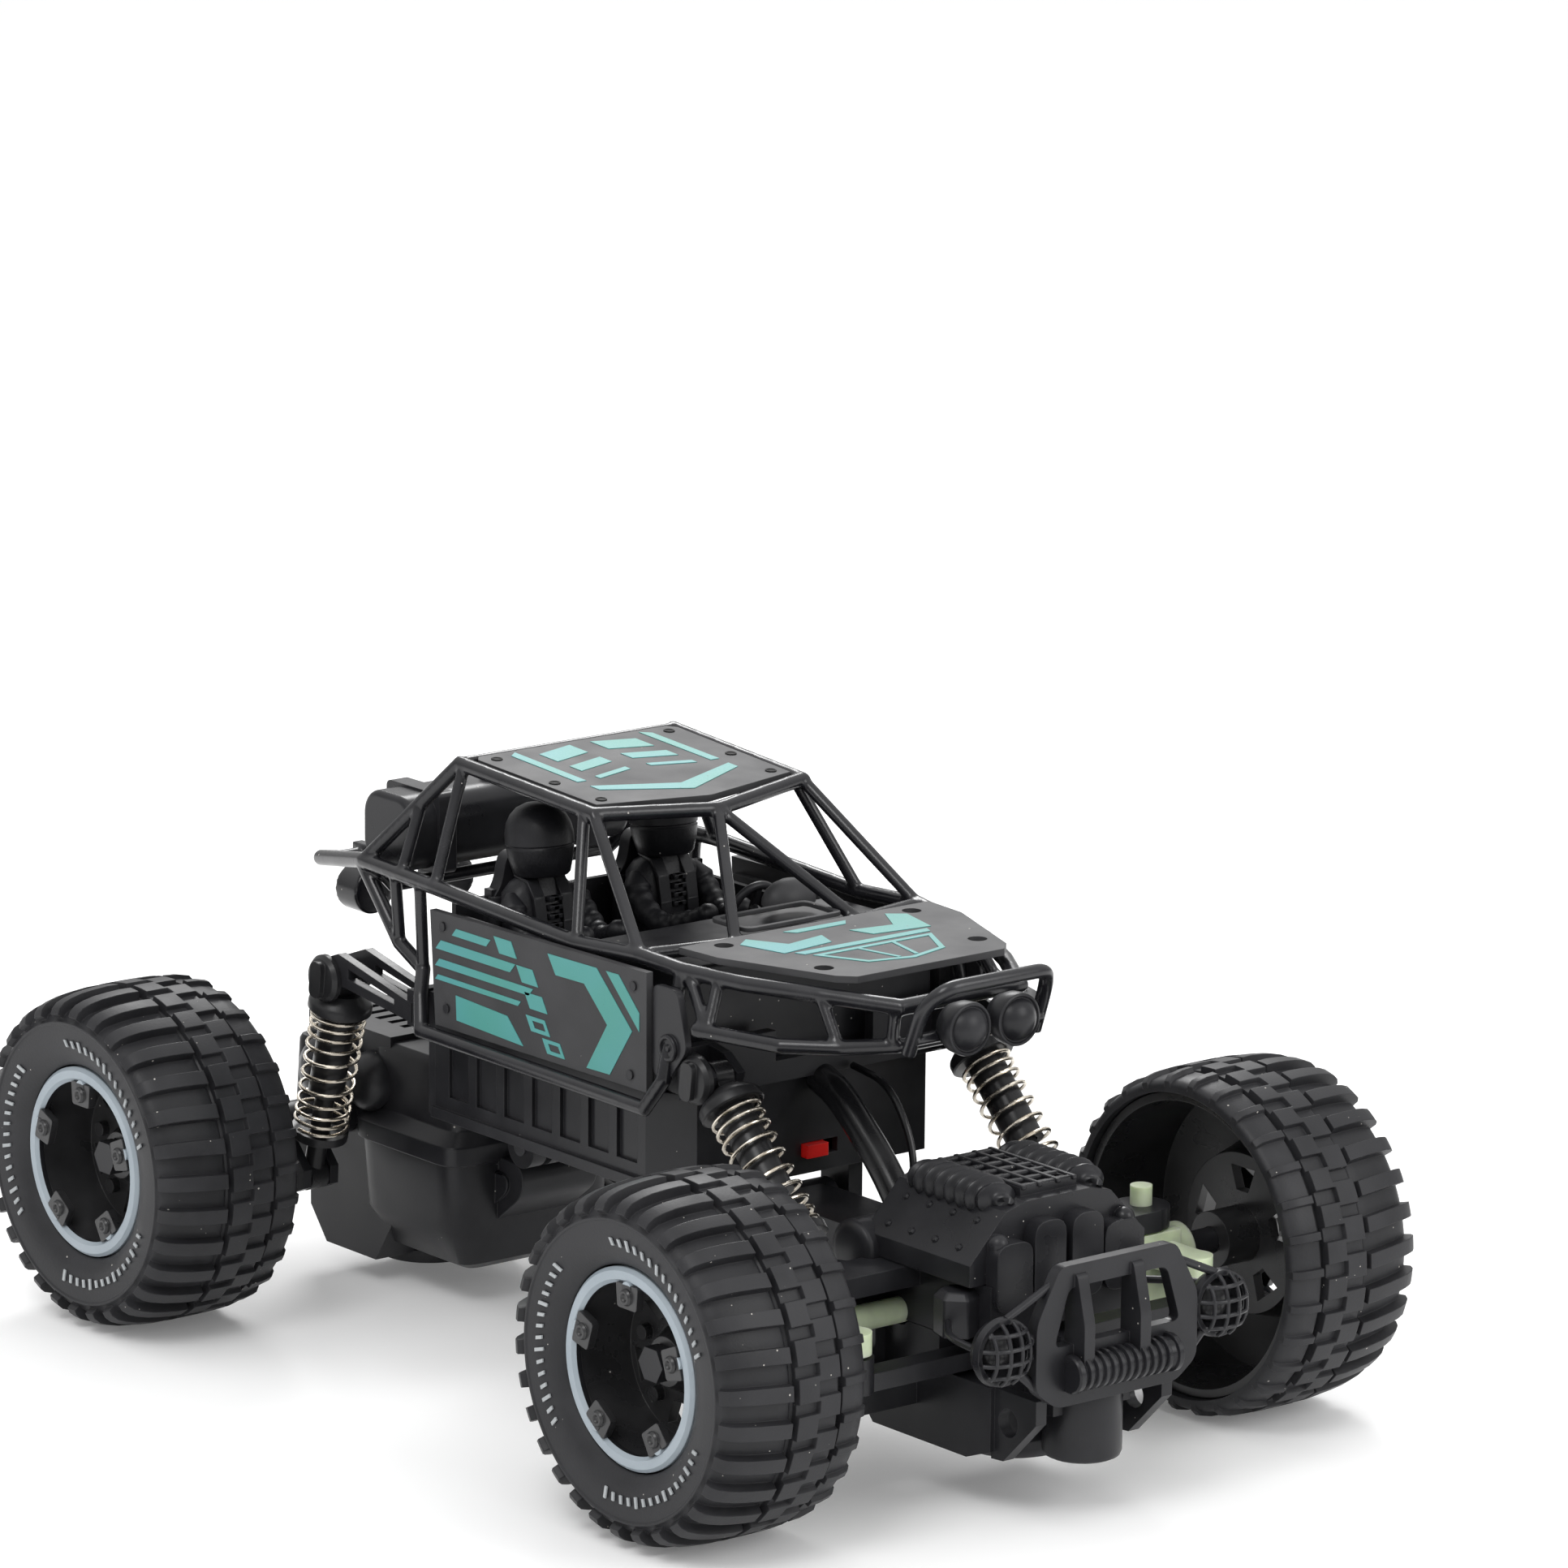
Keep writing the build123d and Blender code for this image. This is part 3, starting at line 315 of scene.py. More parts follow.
class Finish:
    """A node material under construction, kept in finishes by its name.

    Apart from feed and set, each method adds nodes and gives what comes out of them.
    """

    def __init__(self, name):
        self.material = bpy.data.materials.new(name)
        self.material.use_nodes = True
        self.nodes = self.material.node_tree.nodes
        self.link = self.material.node_tree.links.new
        self.surface = self.nodes["Principled BSDF"]
        self.place = self.nodes.new("ShaderNodeTexCoord").outputs["Object"]
        finishes[name] = self.material

    def feed(self, socket, value):
        """Put a number, three numbers or another node's output into a socket."""
        if isinstance(value, (int, float)):
            socket.default_value = value
        elif isinstance(value, tuple):
            socket.default_value = (*value, 1.0) if socket.type == "RGBA" else value
        else:
            self.link(value, socket)

    def set(self, **inputs):
        for name, value in inputs.items():
            self.feed(self.surface.inputs[name.replace("_", " ")], value)

    def noise(self, scale, detail=3.0, stretch=(1, 1, 1)):
        mapping = self.nodes.new("ShaderNodeMapping")
        mapping.inputs["Scale"].default_value = stretch
        texture = self.nodes.new("ShaderNodeTexNoise")
        texture.inputs["Scale"].default_value = scale
        texture.inputs["Detail"].default_value = detail
        self.link(self.place, mapping.inputs["Vector"])
        self.link(mapping.outputs[0], texture.inputs["Vector"])
        return texture.outputs["Fac"]

    def ranged(self, value, start, end, low_value=0.0, high_value=1.0):
        """The value carried from start..end to low_value..high_value and held there."""
        mapped = self.nodes.new("ShaderNodeMapRange")
        sockets = ("Value", "From Min", "From Max", "To Min", "To Max")
        for socket, given in zip(sockets, (value, start, end, low_value, high_value)):
            self.feed(mapped.inputs[socket], given)
        return mapped.outputs["Result"]

    def combined(self, operation, first, second):
        node = self.nodes.new("ShaderNodeMath")
        node.operation = operation
        self.feed(node.inputs[0], first)
        self.feed(node.inputs[1], second)
        return node.outputs[0]

    def mixed(self, share, first, second):
        """Two colours mixed: the first at share 0, the second at share 1."""
        node = self.nodes.new("ShaderNodeMix")
        node.data_type = "RGBA"
        colours = [socket for socket in node.inputs if socket.type == "RGBA"]
        self.feed(node.inputs["Factor"], share)
        self.feed(colours[0], first)
        self.feed(colours[1], second)
        return next(socket for socket in node.outputs if socket.type == "RGBA")

    def specks(self, spacing, size, share):
        """Small scattered marks: one cell in every 1 / share holds one."""
        cells = self.nodes.new("ShaderNodeTexVoronoi")
        cells.inputs["Scale"].default_value = 1 / (spacing * MM)
        self.link(self.place, cells.inputs["Vector"])
        parts = self.nodes.new("ShaderNodeSeparateColor")
        self.link(cells.outputs["Color"], parts.inputs["Color"])
        chosen = self.combined("LESS_THAN", parts.outputs["Red"], share)
        reach = self.combined("MULTIPLY", parts.outputs["Green"], size)
        near = self.combined("LESS_THAN", cells.outputs["Distance"], reach)
        return self.combined("MULTIPLY", chosen, near)

    def near_wheel_axis(self, radius):
        """1 within the radius of either axle's line, which runs along y."""
        flat = self.nodes.new("ShaderNodeVectorMath")
        flat.operation = "MULTIPLY"
        flat.inputs[1].default_value = (1, 0, 1)
        self.link(self.place, flat.inputs[0])
        inside = 0.0
        for joint in ("front_wheel_left_spin", "rear_wheels_spin"):
            reach = self.nodes.new("ShaderNodeVectorMath")
            reach.operation = "DISTANCE"
            reach.inputs[1].default_value = (pivots[joint].x * MM, 0, pivots[joint].z * MM)
            self.link(flat.outputs[0], reach.inputs[0])
            within = self.combined("LESS_THAN", reach.outputs["Value"], radius * MM)
            inside = self.combined("MAXIMUM", within, inside)
        return inside

    def edges(self, width):
        """The normal rounded over sharp edges, and a mask that is 1 on them."""
        rounding = self.nodes.new("ShaderNodeBevel")
        rounding.samples = 4
        rounding.inputs["Radius"].default_value = width * MM
        true_normal = self.nodes.new("ShaderNodeNewGeometry").outputs["Normal"]
        dot = self.nodes.new("ShaderNodeVectorMath")
        dot.operation = "DOT_PRODUCT"
        self.link(rounding.outputs[0], dot.inputs[0])
        self.link(true_normal, dot.inputs[1])
        return rounding.outputs[0], self.ranged(dot.outputs["Value"], 0.99, 0.8)

    def bump(self, height, depth, normal=None):
        node = self.nodes.new("ShaderNodeBump")
        node.inputs["Strength"].default_value = 1.0
        node.inputs["Distance"].default_value = depth * MM
        self.link(height, node.inputs["Height"])
        if normal:
            self.link(normal, node.inputs["Normal"])
        return node.outputs[0]


DUST = (0.42, 0.40, 0.37)
BLACK_PLASTIC = (0.012, 0.012, 0.014)
RING_INNER_RADIUS = 18.9


def moulded(
    name, colour, roughness, grain=0.012, grain_scale=2600.0, dust=0.05, edge=0.25, shine=0.3
):
    """Moulded plastic or rubber: fine grain, patches of gloss, rubbed edges and dust specks."""
    finish = Finish(name)
    patches = finish.noise(85.0, 4.0)
    fine = finish.noise(grain_scale, 2.0)
    rounded_normal, edge_mask = finish.edges(edge)
    lighter = tuple(min(1.0, channel * 1.35 + 0.004) for channel in colour)
    rubbed = tuple(min(1.0, channel * 1.8 + 0.02) for channel in colour)
    base = finish.mixed(finish.ranged(patches, 0.35, 0.7), colour, lighter)
    worn = finish.combined("MULTIPLY", edge_mask, finish.ranged(patches, 0.42, 0.68, 0.0, 0.5))
    base = finish.mixed(worn, base, rubbed)
    flecks = finish.specks(1.9, 0.13, dust)
    sheen = finish.ranged(patches, 0.3, 0.75, roughness - 0.06, roughness + 0.1)
    finish.set(
        Base_Color=finish.mixed(flecks, base, DUST),
        Roughness=finish.combined("ADD", sheen, finish.combined("MULTIPLY", flecks, 0.3)),
        Specular_IOR_Level=shine,
        Normal=finish.bump(fine, grain, rounded_normal),
    )


def metal(name, colour, roughness, tarnish):
    """Drawn or plated metal: fine draw lines and a few darker patches."""
    finish = Finish(name)
    patches = finish.noise(240.0, 4.0)
    lines = finish.noise(900.0, 2.0, (1, 1, 9))
    rounded_normal, _ = finish.edges(0.1)
    finish.set(
        Base_Color=finish.mixed(finish.ranged(patches, 0.45, 0.75), colour, tarnish),
        Metallic=1.0,
        Roughness=finish.ranged(lines, 0.3, 0.7, roughness - 0.05, roughness + 0.1),
        Normal=finish.bump(lines, 0.004, rounded_normal),
    )


def translucent(name, colour):
    """Unfilled nylon: light passes some way in, with a faint cloudiness."""
    finish = Finish(name)
    clouds = finish.noise(150.0, 3.0)
    fine = finish.noise(1800.0, 2.0)
    rounded_normal, _ = finish.edges(0.25)
    deeper = tuple(channel * 0.8 for channel in colour)
    finish.set(
        Base_Color=finish.mixed(finish.ranged(clouds, 0.35, 0.7), colour, deeper),
        Roughness=finish.ranged(clouds, 0.3, 0.7, 0.3, 0.42),
        Subsurface_Weight=0.6,
        Subsurface_Radius=(0.003, 0.0035, 0.002),
        Subsurface_Scale=1.0,
        Normal=finish.bump(fine, 0.01, rounded_normal),
    )


def printed(name, colour, other):
    """Ink printed on plastic: a slow change of hue, a fine screen and a few worn pinholes."""
    finish = Finish(name)
    drift = finish.noise(38.0, 2.0)
    screen = finish.noise(3200.0, 2.0)
    pinholes = finish.specks(2.4, 0.12, 0.12)
    ink = finish.mixed(finish.ranged(drift, 0.35, 0.65), colour, other)
    finish.set(
        Base_Color=finish.mixed(pinholes, ink, (0.09, 0.12, 0.12)),
        Roughness=finish.ranged(screen, 0.3, 0.7, 0.36, 0.5),
        Normal=finish.bump(screen, 0.005),
    )


def silvered(name, silver, brighter, bare):
    """The bead rings' plastic: painted silver, with the inner lugs left bare."""
    finish = Finish(name)
    patches = finish.noise(85.0, 4.0)
    fine = finish.noise(2600.0, 2.0)
    rounded_normal, _ = finish.edges(0.25)
    painted = finish.mixed(finish.ranged(patches, 0.35, 0.7), silver, brighter)
    finish.set(
        Base_Color=finish.mixed(finish.near_wheel_axis(RING_INNER_RADIUS), painted, bare),
        Roughness=finish.ranged(patches, 0.3, 0.75, 0.36, 0.5),
        Normal=finish.bump(fine, 0.012, rounded_normal),
    )


def lacquered(name, lacquer, copper):
    """A circuit board: lacquer over a pattern of copper tracks."""
    finish = Finish(name)
    tracks = finish.noise(420.0, 0.0, (1, 3, 1))
    weave = finish.noise(1500.0, 2.0)
    finish.set(
        Base_Color=finish.mixed(finish.ranged(tracks, 0.49, 0.51), lacquer, copper),
        Roughness=finish.ranged(weave, 0.3, 0.7, 0.25, 0.4),
        Normal=finish.bump(weave, 0.01),
    )


# The record's material slots.
moulded("chassis_plastic", (0.014, 0.014, 0.016), 0.34)
moulded("cage_plastic", (0.008, 0.008, 0.010), 0.20, dust=0.08, edge=0.5, shine=0.5)
moulded("panel_plastic", (0.036, 0.036, 0.038), 0.50, grain=0.02, dust=0.04)
moulded("gearbox_plastic", BLACK_PLASTIC, 0.36, dust=0.08)
moulded("engine_plastic", BLACK_PLASTIC, 0.30, dust=0.08)
moulded("suit_plastic", (0.010, 0.010, 0.012), 0.40, grain=0.05, grain_scale=1500.0)
moulded("switch_plastic", (0.62, 0.012, 0.010), 0.30, dust=0.01)
translucent("nylon", (0.60, 0.68, 0.48))
moulded(
    "tyre_rubber", (0.016, 0.016, 0.018), 0.46, grain=0.03, grain_scale=1700.0, dust=0.22,
    edge=0.35,
)
moulded("rim_plastic", (0.016, 0.016, 0.017), 0.30, shine=0.5)
silvered("ring_plastic", (0.30, 0.35, 0.39), (0.35, 0.40, 0.44), (0.010, 0.010, 0.012))
moulded("shock_plastic", (0.011, 0.011, 0.012), 0.30, dust=0.06)
metal("spring_steel", (0.78, 0.72, 0.62), 0.20, (0.42, 0.36, 0.28))
metal("motor_steel", (0.55, 0.55, 0.56), 0.30, (0.3, 0.3, 0.3))
metal("pin_steel", (0.16, 0.16, 0.17), 0.38, (0.12, 0.12, 0.12))
lacquered("board", (0.01, 0.10, 0.03), (0.03, 0.20, 0.06))
moulded("cell_wrap", (0.30, 0.16, 0.03), 0.28, dust=0.0)
moulded("sleeve_rubber", (0.008, 0.008, 0.009), 0.22, dust=0.04)

# Finishes for printed patterns, and a near-black painted shade for the holes of the eyelets.
printed("livery", (0.066, 0.30, 0.265), (0.078, 0.315, 0.325))
printed("tyre_print", (0.40, 0.42, 0.43), (0.32, 0.34, 0.35))
# Painted shade: a near-black colour that stands for the dark inside of a hole.
moulded("hole_painted_shade", (0.003, 0.003, 0.003), 0.6, dust=0.0)

for node in frame["nodes"].values():
    slot = node.data.materials[0].name.split(".")[0]
    for index in range(len(node.data.materials)):
        node.data.materials[index] = finishes[slot]

# The cage is one moulding: its tubes flow into each other where they meet.
cage = frame["nodes"]["roll_cage"]
moulding = cage.modifiers.new("one_moulding", "REMESH")
moulding.mode = "VOXEL"
moulding.voxel_size = 0.45 * MM
moulding.use_smooth_shade = True
relaxed = cage.modifiers.new("relaxed", "SMOOTH")
relaxed.factor = 0.5
relaxed.iterations = 4


# --- Wheels

LUGS = 30
# Where the lugs and blocks of each band start or end, as shares of one lug's pitch.
INNER_END = 0.24
BLOCK_IN_START = 0.40
SHOULDER_END = 0.44
BLOCK_OUT_GAP = (0.56, 0.88)
LUG_EDGES = (0.0, 0.12, INNER_END, BLOCK_IN_START, SHOULDER_END, *BLOCK_OUT_GAP)
# How much of the full rise the low parts between blocks and between inner lugs keep.
LOW_BLOCK = 0.42
LOW_INNER = 0.45
# Each edge of a lug slopes over this share of the pitch to either side.
LUG_HALF_SLOPE = 0.014
# A shoulder lug sweeps back by this share of the pitch from SWEEP_FROM to SWEEP_FROM +
# SWEEP_REACH out from the wheel's middle. The inner lugs are all set back by a fixed share.
LUG_SWEEP = 0.16
SWEEP_FROM = 2.0
SWEEP_REACH = 15.0
INNER_SET_BACK = 0.1

# The tread's bands from the outer side wall to the inner edge. Each row is the carcass radius,
# the distance out from the wheel's middle, and the rise of a full lug in radius and outward.
SIDE_WALL, SHOULDER, BLOCK_OUT, BLOCK_IN, INNER, GROOVE = range(6)
tread_bands = [
    (SIDE_WALL, [
        (24.2, 16.6, 0, 0), (26.5, 17.6, 0, 0), (29.5, 18.2, 0, 0), (32.6, 18.4, 0, 0),
        (32.9, 18.65, 0, 0), (33.4, 18.65, 0, 0), (33.7, 18.1, 0, 0),
    ]),
    (SHOULDER, [
        (34.2, 17.8, 0, 0), (34.5, 17.6, 0.7, 1.5), (35.1, 17.0, 1.4, 1.6), (35.7, 16.1, 2.0, 1.1),
        (36.2, 14.5, 2.3, 0.6), (36.8, 12.0, 2.4, 0.2), (37.3, 9.0, 2.3, 0), (37.6, 5.5, 2.3, 0),
        (37.8, 2.6, 2.1, 0),
    ]),
    (GROOVE, [(37.7, 2.3, 0, 0), (37.3, 1.8, 0, 0), (37.7, 1.3, 0, 0)]),
    (BLOCK_OUT, [(37.9, 1.1, 2.1, 0), (37.9, -1.6, 2.1, 0), (37.9, -4.3, 2.1, 0)]),
    (BLOCK_IN, [(37.9, -4.7, 2.1, 0), (37.9, -7.4, 2.1, 0), (37.9, -10.1, 2.0, 0)]),
    (GROOVE, [(37.6, -10.4, 0, 0), (37.3, -10.9, 0, 0), (37.6, -11.3, 0, 0)]),
    (INNER, [
        (37.8, -11.6, 2.0, 0), (37.6, -14.6, 2.0, -0.1), (37.1, -17.4, 1.8, -0.4),
        (36.6, -18.5, 1.0, -0.5), (36.3, -19.0, 0, 0),
    ]),
]
tread_rows = [(band, *row) for band, rows in tread_bands for row in rows]
inner_wall = [(35.2, -19.0), (35.2, 7.4), (22.8, 12.4), (22.8, 15.2)]


def lug_height(band, share):
    """How much of the full rise stands at a share of the pitch, for one band of the tread."""
    if band == SHOULDER:
        return 1.0 if share < SHOULDER_END else 0.0
    if band == BLOCK_OUT:
        return LOW_BLOCK if BLOCK_OUT_GAP[0] < share < BLOCK_OUT_GAP[1] else 1.0
    if band == BLOCK_IN:
        return 1.0 if share > BLOCK_IN_START else LOW_BLOCK
    if band == INNER:
        return 1.0 if share < INNER_END else LOW_INNER
    return 0.0


def wheel_point(centre, side, radius, outward, angle):
    """A point on a wheel, `outward` from its middle towards the outer side."""
    return centre + Vector((radius * math.cos(angle), side * outward, radius * math.sin(angle)))


def tyre(centre, side):
    """A hollow tyre with swept shoulder lugs, two rows of stepped blocks and an inner band."""
    shares = []
    for start, end in zip(LUG_EDGES, LUG_EDGES[1:] + (1.0,)):
        shares += [start + LUG_HALF_SLOPE, (start + end) / 2, end - LUG_HALF_SLOPE]
    angles = [(lug + share, share) for lug in range(LUGS) for share in shares]
    points = []
    for turn, share in angles:
        for band, radius, outward, rise, spread in tread_rows:
            height = lug_height(band, share)
            sweep = LUG_SWEEP * max(0.0, outward - SWEEP_FROM) / SWEEP_REACH
            if band == INNER:
                sweep += INNER_SET_BACK
            points.append(wheel_point(
                centre, side, radius + rise * height, outward + spread * height,
                2 * math.pi * (turn + sweep) / LUGS,
            ))
        for radius, outward in inner_wall:
            points.append(wheel_point(centre, side, radius, outward, 2 * math.pi * turn / LUGS))
    return points, wrapped_faces(len(angles), len(tread_rows) + len(inner_wall))


# The marks: three groups of bars, with every fourth bar taller. The side wall leans outward
# from WALL_START by WALL_LEAN for each mm of radius.
MARK_GROUPS = 3
MARKS_IN_GROUP = 15
MARK_STEP = 5.4
MARK_START = 20.0
MARK_RADIUS = 28.4
MARK_THICKNESS = 0.35
WALL_START = (26.5, 17.75)
WALL_LEAN = 0.2


def side_wall_marks(centre, side):
    """Groups of plain slanted bars round the side wall, with no lettering."""
    bars = []
    for group in range(MARK_GROUPS):
        for step in range(MARKS_IN_GROUP):
            angle = math.radians(MARK_START + 360 / MARK_GROUPS * group + MARK_STEP * step)
            top = 0.85 if step % 4 else 1.2
            corners = [(-0.45, -top), (0.35, -top), (0.85, top), (0.05, top)]

            def on_wall(a, b, depth):
                radius = MARK_RADIUS + b
                outward = WALL_START[1] + (radius - WALL_START[0]) * WALL_LEAN + depth
                return wheel_point(centre, side, radius, outward, angle + a / radius)

            bars.append(slab(corners, on_wall, MARK_THICKNESS))
    return bars


WHEEL_SCREWS = 5
SCREW_PAD_RADIUS = 16.9
SCREW_PAD_OUT = 14.6
SCREW_PAD_THICKNESS = 1.9


def wheel_screws(centre, side):
    """Dark lug pads with a screw head in each, set inside the bead ring."""
    pad = softened([(-3.4, -3.3), (2.1, -3.8), (2.1, 3.8), (-3.4, 3.3)], 0.7, 3)
    head = [(2.25, 0.0), (2.25, 0.6), (2.75, 1.0), (2.75, 1.5), (2.2, 1.9), (1.8, 1.9), (1.8, 0.0)]
    outward = Vector((0, side, 0))
    shapes = []
    for step in range(WHEEL_SCREWS):
        angle = math.radians(90 + 360 / WHEEL_SCREWS * step)
        spot = wheel_point(centre, side, SCREW_PAD_RADIUS, SCREW_PAD_OUT, angle)
        radial = Vector((math.cos(angle), 0, math.sin(angle)))
        around = outward.cross(radial)

        def on_rim(a, b, depth):
            return spot + radial * a + around * b + outward * depth

        shapes.append(slab(pad, on_rim, SCREW_PAD_THICKNESS))
        shapes.append(turned(head, on_rim(-0.7, 0, 0), outward, 20))
    return shapes


for place in ("front_left", "front_right", "rear_left", "rear_right"):
    end, hand = place.split("_")
    side = SIDES[hand]
    body = f"front_wheel_{hand}" if end == "front" else "rear_wheels"
    node = f"{end}_tyre_{hand}"
    centre = middle(node)
    piece(f"tyre_{place}", body, [tyre(centre, side)], "tyre_rubber", stands_for=node)
    marks = side_wall_marks(centre, side)
    piece(f"tyre_marks_{place}", body, marks, "tyre_rubber", look="tyre_print")
    piece(f"wheel_lugs_{place}", body, wheel_screws(centre, side), "rim_plastic", bevel=0.25)


# --- Shock absorbers

# The coil starts at the collar, this far down from the upper pin, and takes all of the
# shock's length but SLACK.
COLLAR = 9.2
SLACK = 21.9
COIL_RADIUS = {"front": 5.9, "rear": 6.3}
WIRE_RADIUS = 0.46
STEPS_IN_TURN = 26
# How far the end turns draw together, as a share of the coil's length.
CLOSED_ENDS = 0.055


def coil(top, along, length, turns, radius):
    """A compression spring with closed ends, wound about the shock's axis."""
    side = Vector(LEFT)
    across = along.cross(side)
    steps = int(turns * STEPS_IN_TURN)
    path = []
    for step in range(steps + 1):
        t = step / steps
        # The first and last turns lie close together, the rest are evenly spaced.
        eased = t - CLOSED_ENDS * math.sin(2 * math.pi * t)
        angle = 2 * math.pi * turns * t
        travel = WIRE_RADIUS + (length - 2 * WIRE_RADIUS) * eased
        path.append(
            top + along * (COLLAR + travel)
            + (side * math.cos(angle) + across * math.sin(angle)) * radius
        )
    return tube(path, WIRE_RADIUS, 9)


# The cup that widens from a shock's eye to its upper collar.
bell = [
    (4.2, 0.0), (4.2, 4.6), (5.0, 5.6), (6.4, 7.2), (7.2, 7.6), (8.8, 7.6), (9.1, 7.2), (9.1, 0.0),
]
CAP_OUT = 5.0
CAP_TILT = 0.12


def pin_cap(centre, side):
    """A round cap with a long raised pad, over the end of a shock's upper pin."""
    outward = Vector((0, side, 0))
    profile = [(0.0, 0.0), (0.0, 5.6), (1.2, 5.6), (2.2, 4.8), (2.5, 3.6), (2.5, 0.0)]
    up = Vector((math.sin(CAP_TILT), 0, math.cos(CAP_TILT)))
    across = outward.cross(up)
    pad = softened([(-2.1, -4.4), (2.1, -4.4), (2.1, 4.4), (-2.1, 4.4)], 2.0, 6)

    def on_cap(a, b, depth):
        return centre + across * a + up * b + outward * (2.0 + depth)

    return [turned(profile, centre, outward, 32), slab(pad, on_cap, 1.8)]


for end, turns in (("front", 9.5), ("rear", 10.5)):
    for hand, side in SIDES.items():
        top = pivots[f"{end}_shock_top_{hand}"]
        bottom = pivots[f"{end}_shock_bottom_{hand}"]
        along = (bottom - top).normalized()
        reach = (bottom - top).length
        # The axle turns about the swing pin, which brings the lower pin nearer to the upper one.
        length = reach - SLACK
        barrel = f"{end}_shock_barrel_{hand}"
        wound = coil(top, along, length, turns, COIL_RADIUS[end])
        spring = piece(
            f"{end}_spring_{hand}", barrel, [wound], "spring_steel", stands_for=f"{end}_springs"
        )
        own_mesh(spring)
        cup = turned(bell, top, along, 36)
        piece(f"{end}_shock_bell_{hand}", barrel, [cup], "shock_plastic")
        cap = pin_cap(top + Vector((0, side * CAP_OUT, 0)), side)
        piece(f"{end}_shock_cap_{hand}", "chassis", cap, "shock_plastic", bevel=0.35)


# --- Front bumper

bumper_low, bumper_high = low("front_bumper"), high("front_bumper")
PLATE_THICKNESS = 3.0
plate_front = bumper_high.x - 4.4
plate_back = plate_front - PLATE_THICKNESS

plate_outline = softened(
    both_halves([(16.5, 60.0), (23.0, 48.0), (23.0, 33.0), (17.0, 28.5)]), 2.2
)
plate_window = softened(both_halves([(13.9, 55.0), (17.9, 42.2)]), 2.0)
bracket = softened(
    [(142.5, 58.0), (142.5, 31.0), (146.6, 31.0), (149.2, 37.0), (149.2, 47.0), (146.4, 58.0)], 1.2
)
shapes = [slab(plate_outline, facing_forward(plate_back), PLATE_THICKNESS, plate_window)]
for y in (-11.0, 5.0):
    shapes.append(slab(bracket, facing_side(y - 1.5), 3.0))
piece(
    "bumper_plate", "front_axle", shapes, "gearbox_plastic", bevel=0.5, stands_for="front_bumper"
)

# The winch drum: an end flange on each side and turns of rope between them.
ROPE_TURNS = 11
ROPE_START, ROPE_STEP = -12.2, 2.25
drum = [(-15.0, 0.0), (-15.0, 3.9), (-14.6, 4.3), (-13.4, 4.3), (-13.2, 3.6)]
for step in range(ROPE_TURNS):
    start = ROPE_START + ROPE_STEP * step
    drum += [(start, 3.3), (start + 0.35, 4.1), (start + 1.15, 4.1), (start + 1.5, 3.3)]
drum += [(13.2, 3.6), (13.4, 4.3), (14.6, 4.3), (15.0, 3.9), (15.0, 0.0)]
wound = turned(drum, (plate_front + 1.3, 0.0, 36.0), LEFT, 28)
piece("winch_drum", "front_axle", [wound], "engine_plastic")

LAMP_RADIUS = 7.2
LAMP_DOME = 4.6
lamp_y = bumper_high.y - LAMP_RADIUS
lamp_z = bumper_low.z + 14.8


def lamp_cage(centre):
    """Bars that follow a shallow dome in front of the lamp, up and down and across."""

    def on_dome(across, up):
        share = min(1.0, (across * across + up * up) / LAMP_RADIUS ** 2)
        return centre + Vector((LAMP_DOME * math.sqrt(1 - share), across, up))

    bars = []
    for offset in (-4.6, -1.6, 1.6, 4.6):
        half = math.sqrt((LAMP_RADIUS - 0.3) ** 2 - offset ** 2)
        places = [half * (-1 + step / 6) for step in range(13)]
        bars.append(tube([on_dome(offset, place) for place in places], 0.52, 8))
        bars.append(tube([on_dome(place, offset) for place in places], 0.52, 8))
    return bars


lamp_bowl = [
    (-5.6, 0.0), (-4.8, 3.6), (-2.6, 5.7), (-0.4, 6.5), (0.6, 6.3), (0.6, 7.5), (-1.0, 7.8),
    (-3.2, 6.6), (-5.4, 4.4), (-6.4, 2.0), (-6.4, 0.0),
]
lamp_lens = [(-3.8, 0.0), (-3.8, 5.0), (-2.2, 4.6), (-0.9, 3.3), (-0.3, 1.6), (-0.1, 0.0)]
# Each stay runs from a place on the lamp (forward, outward, up) to one on the plate (outward, z).
lamp_stays = [
    ((-0.6, -1.0, 7.0), (17.5, 56.0), 0.95), ((-0.6, -4.5, -5.4), (20.0, 32.0), 1.0),
    ((-1.0, -6.5, 1.5), (21.5, 44.5), 1.5),
]
lamp_x = plate_back + 1.4
lamps = turned_pair(lamp_bowl, (lamp_x, lamp_y, lamp_z), FORWARD, 36)
lenses = turned_pair(lamp_lens, (lamp_x, lamp_y, lamp_z), FORWARD, 28)
arms = []
for side in SIDES.values():
    lamp = Vector((lamp_x, side * lamp_y, lamp_z))
    lamps += lamp_cage(lamp)
    for (forward, across, up), (plate_y, plate_z), radius in lamp_stays:
        start = lamp + Vector((forward, side * across, up))
        arms.append(tube([start, (plate_back + 1.2, side * plate_y, plate_z)], radius, 12))
    brace = [
        lamp + Vector((-2.5, side * 5.6, 1.0)), (131.0, side * 35.5, 44.5),
        (112.0, side * 20.0, 43.5),
    ]
    arms.append(tube(rounded(brace, 5.0), 0.85, 10))
piece("head_lamps", "front_axle", lamps, "engine_plastic")
piece("head_lamp_lenses", "front_axle", lenses, "shock_plastic")
piece("head_lamp_arms", "front_axle", arms, "engine_plastic")


# --- Engine cover details

cover_low, cover_high = low("engine_cover"), high("engine_cover")


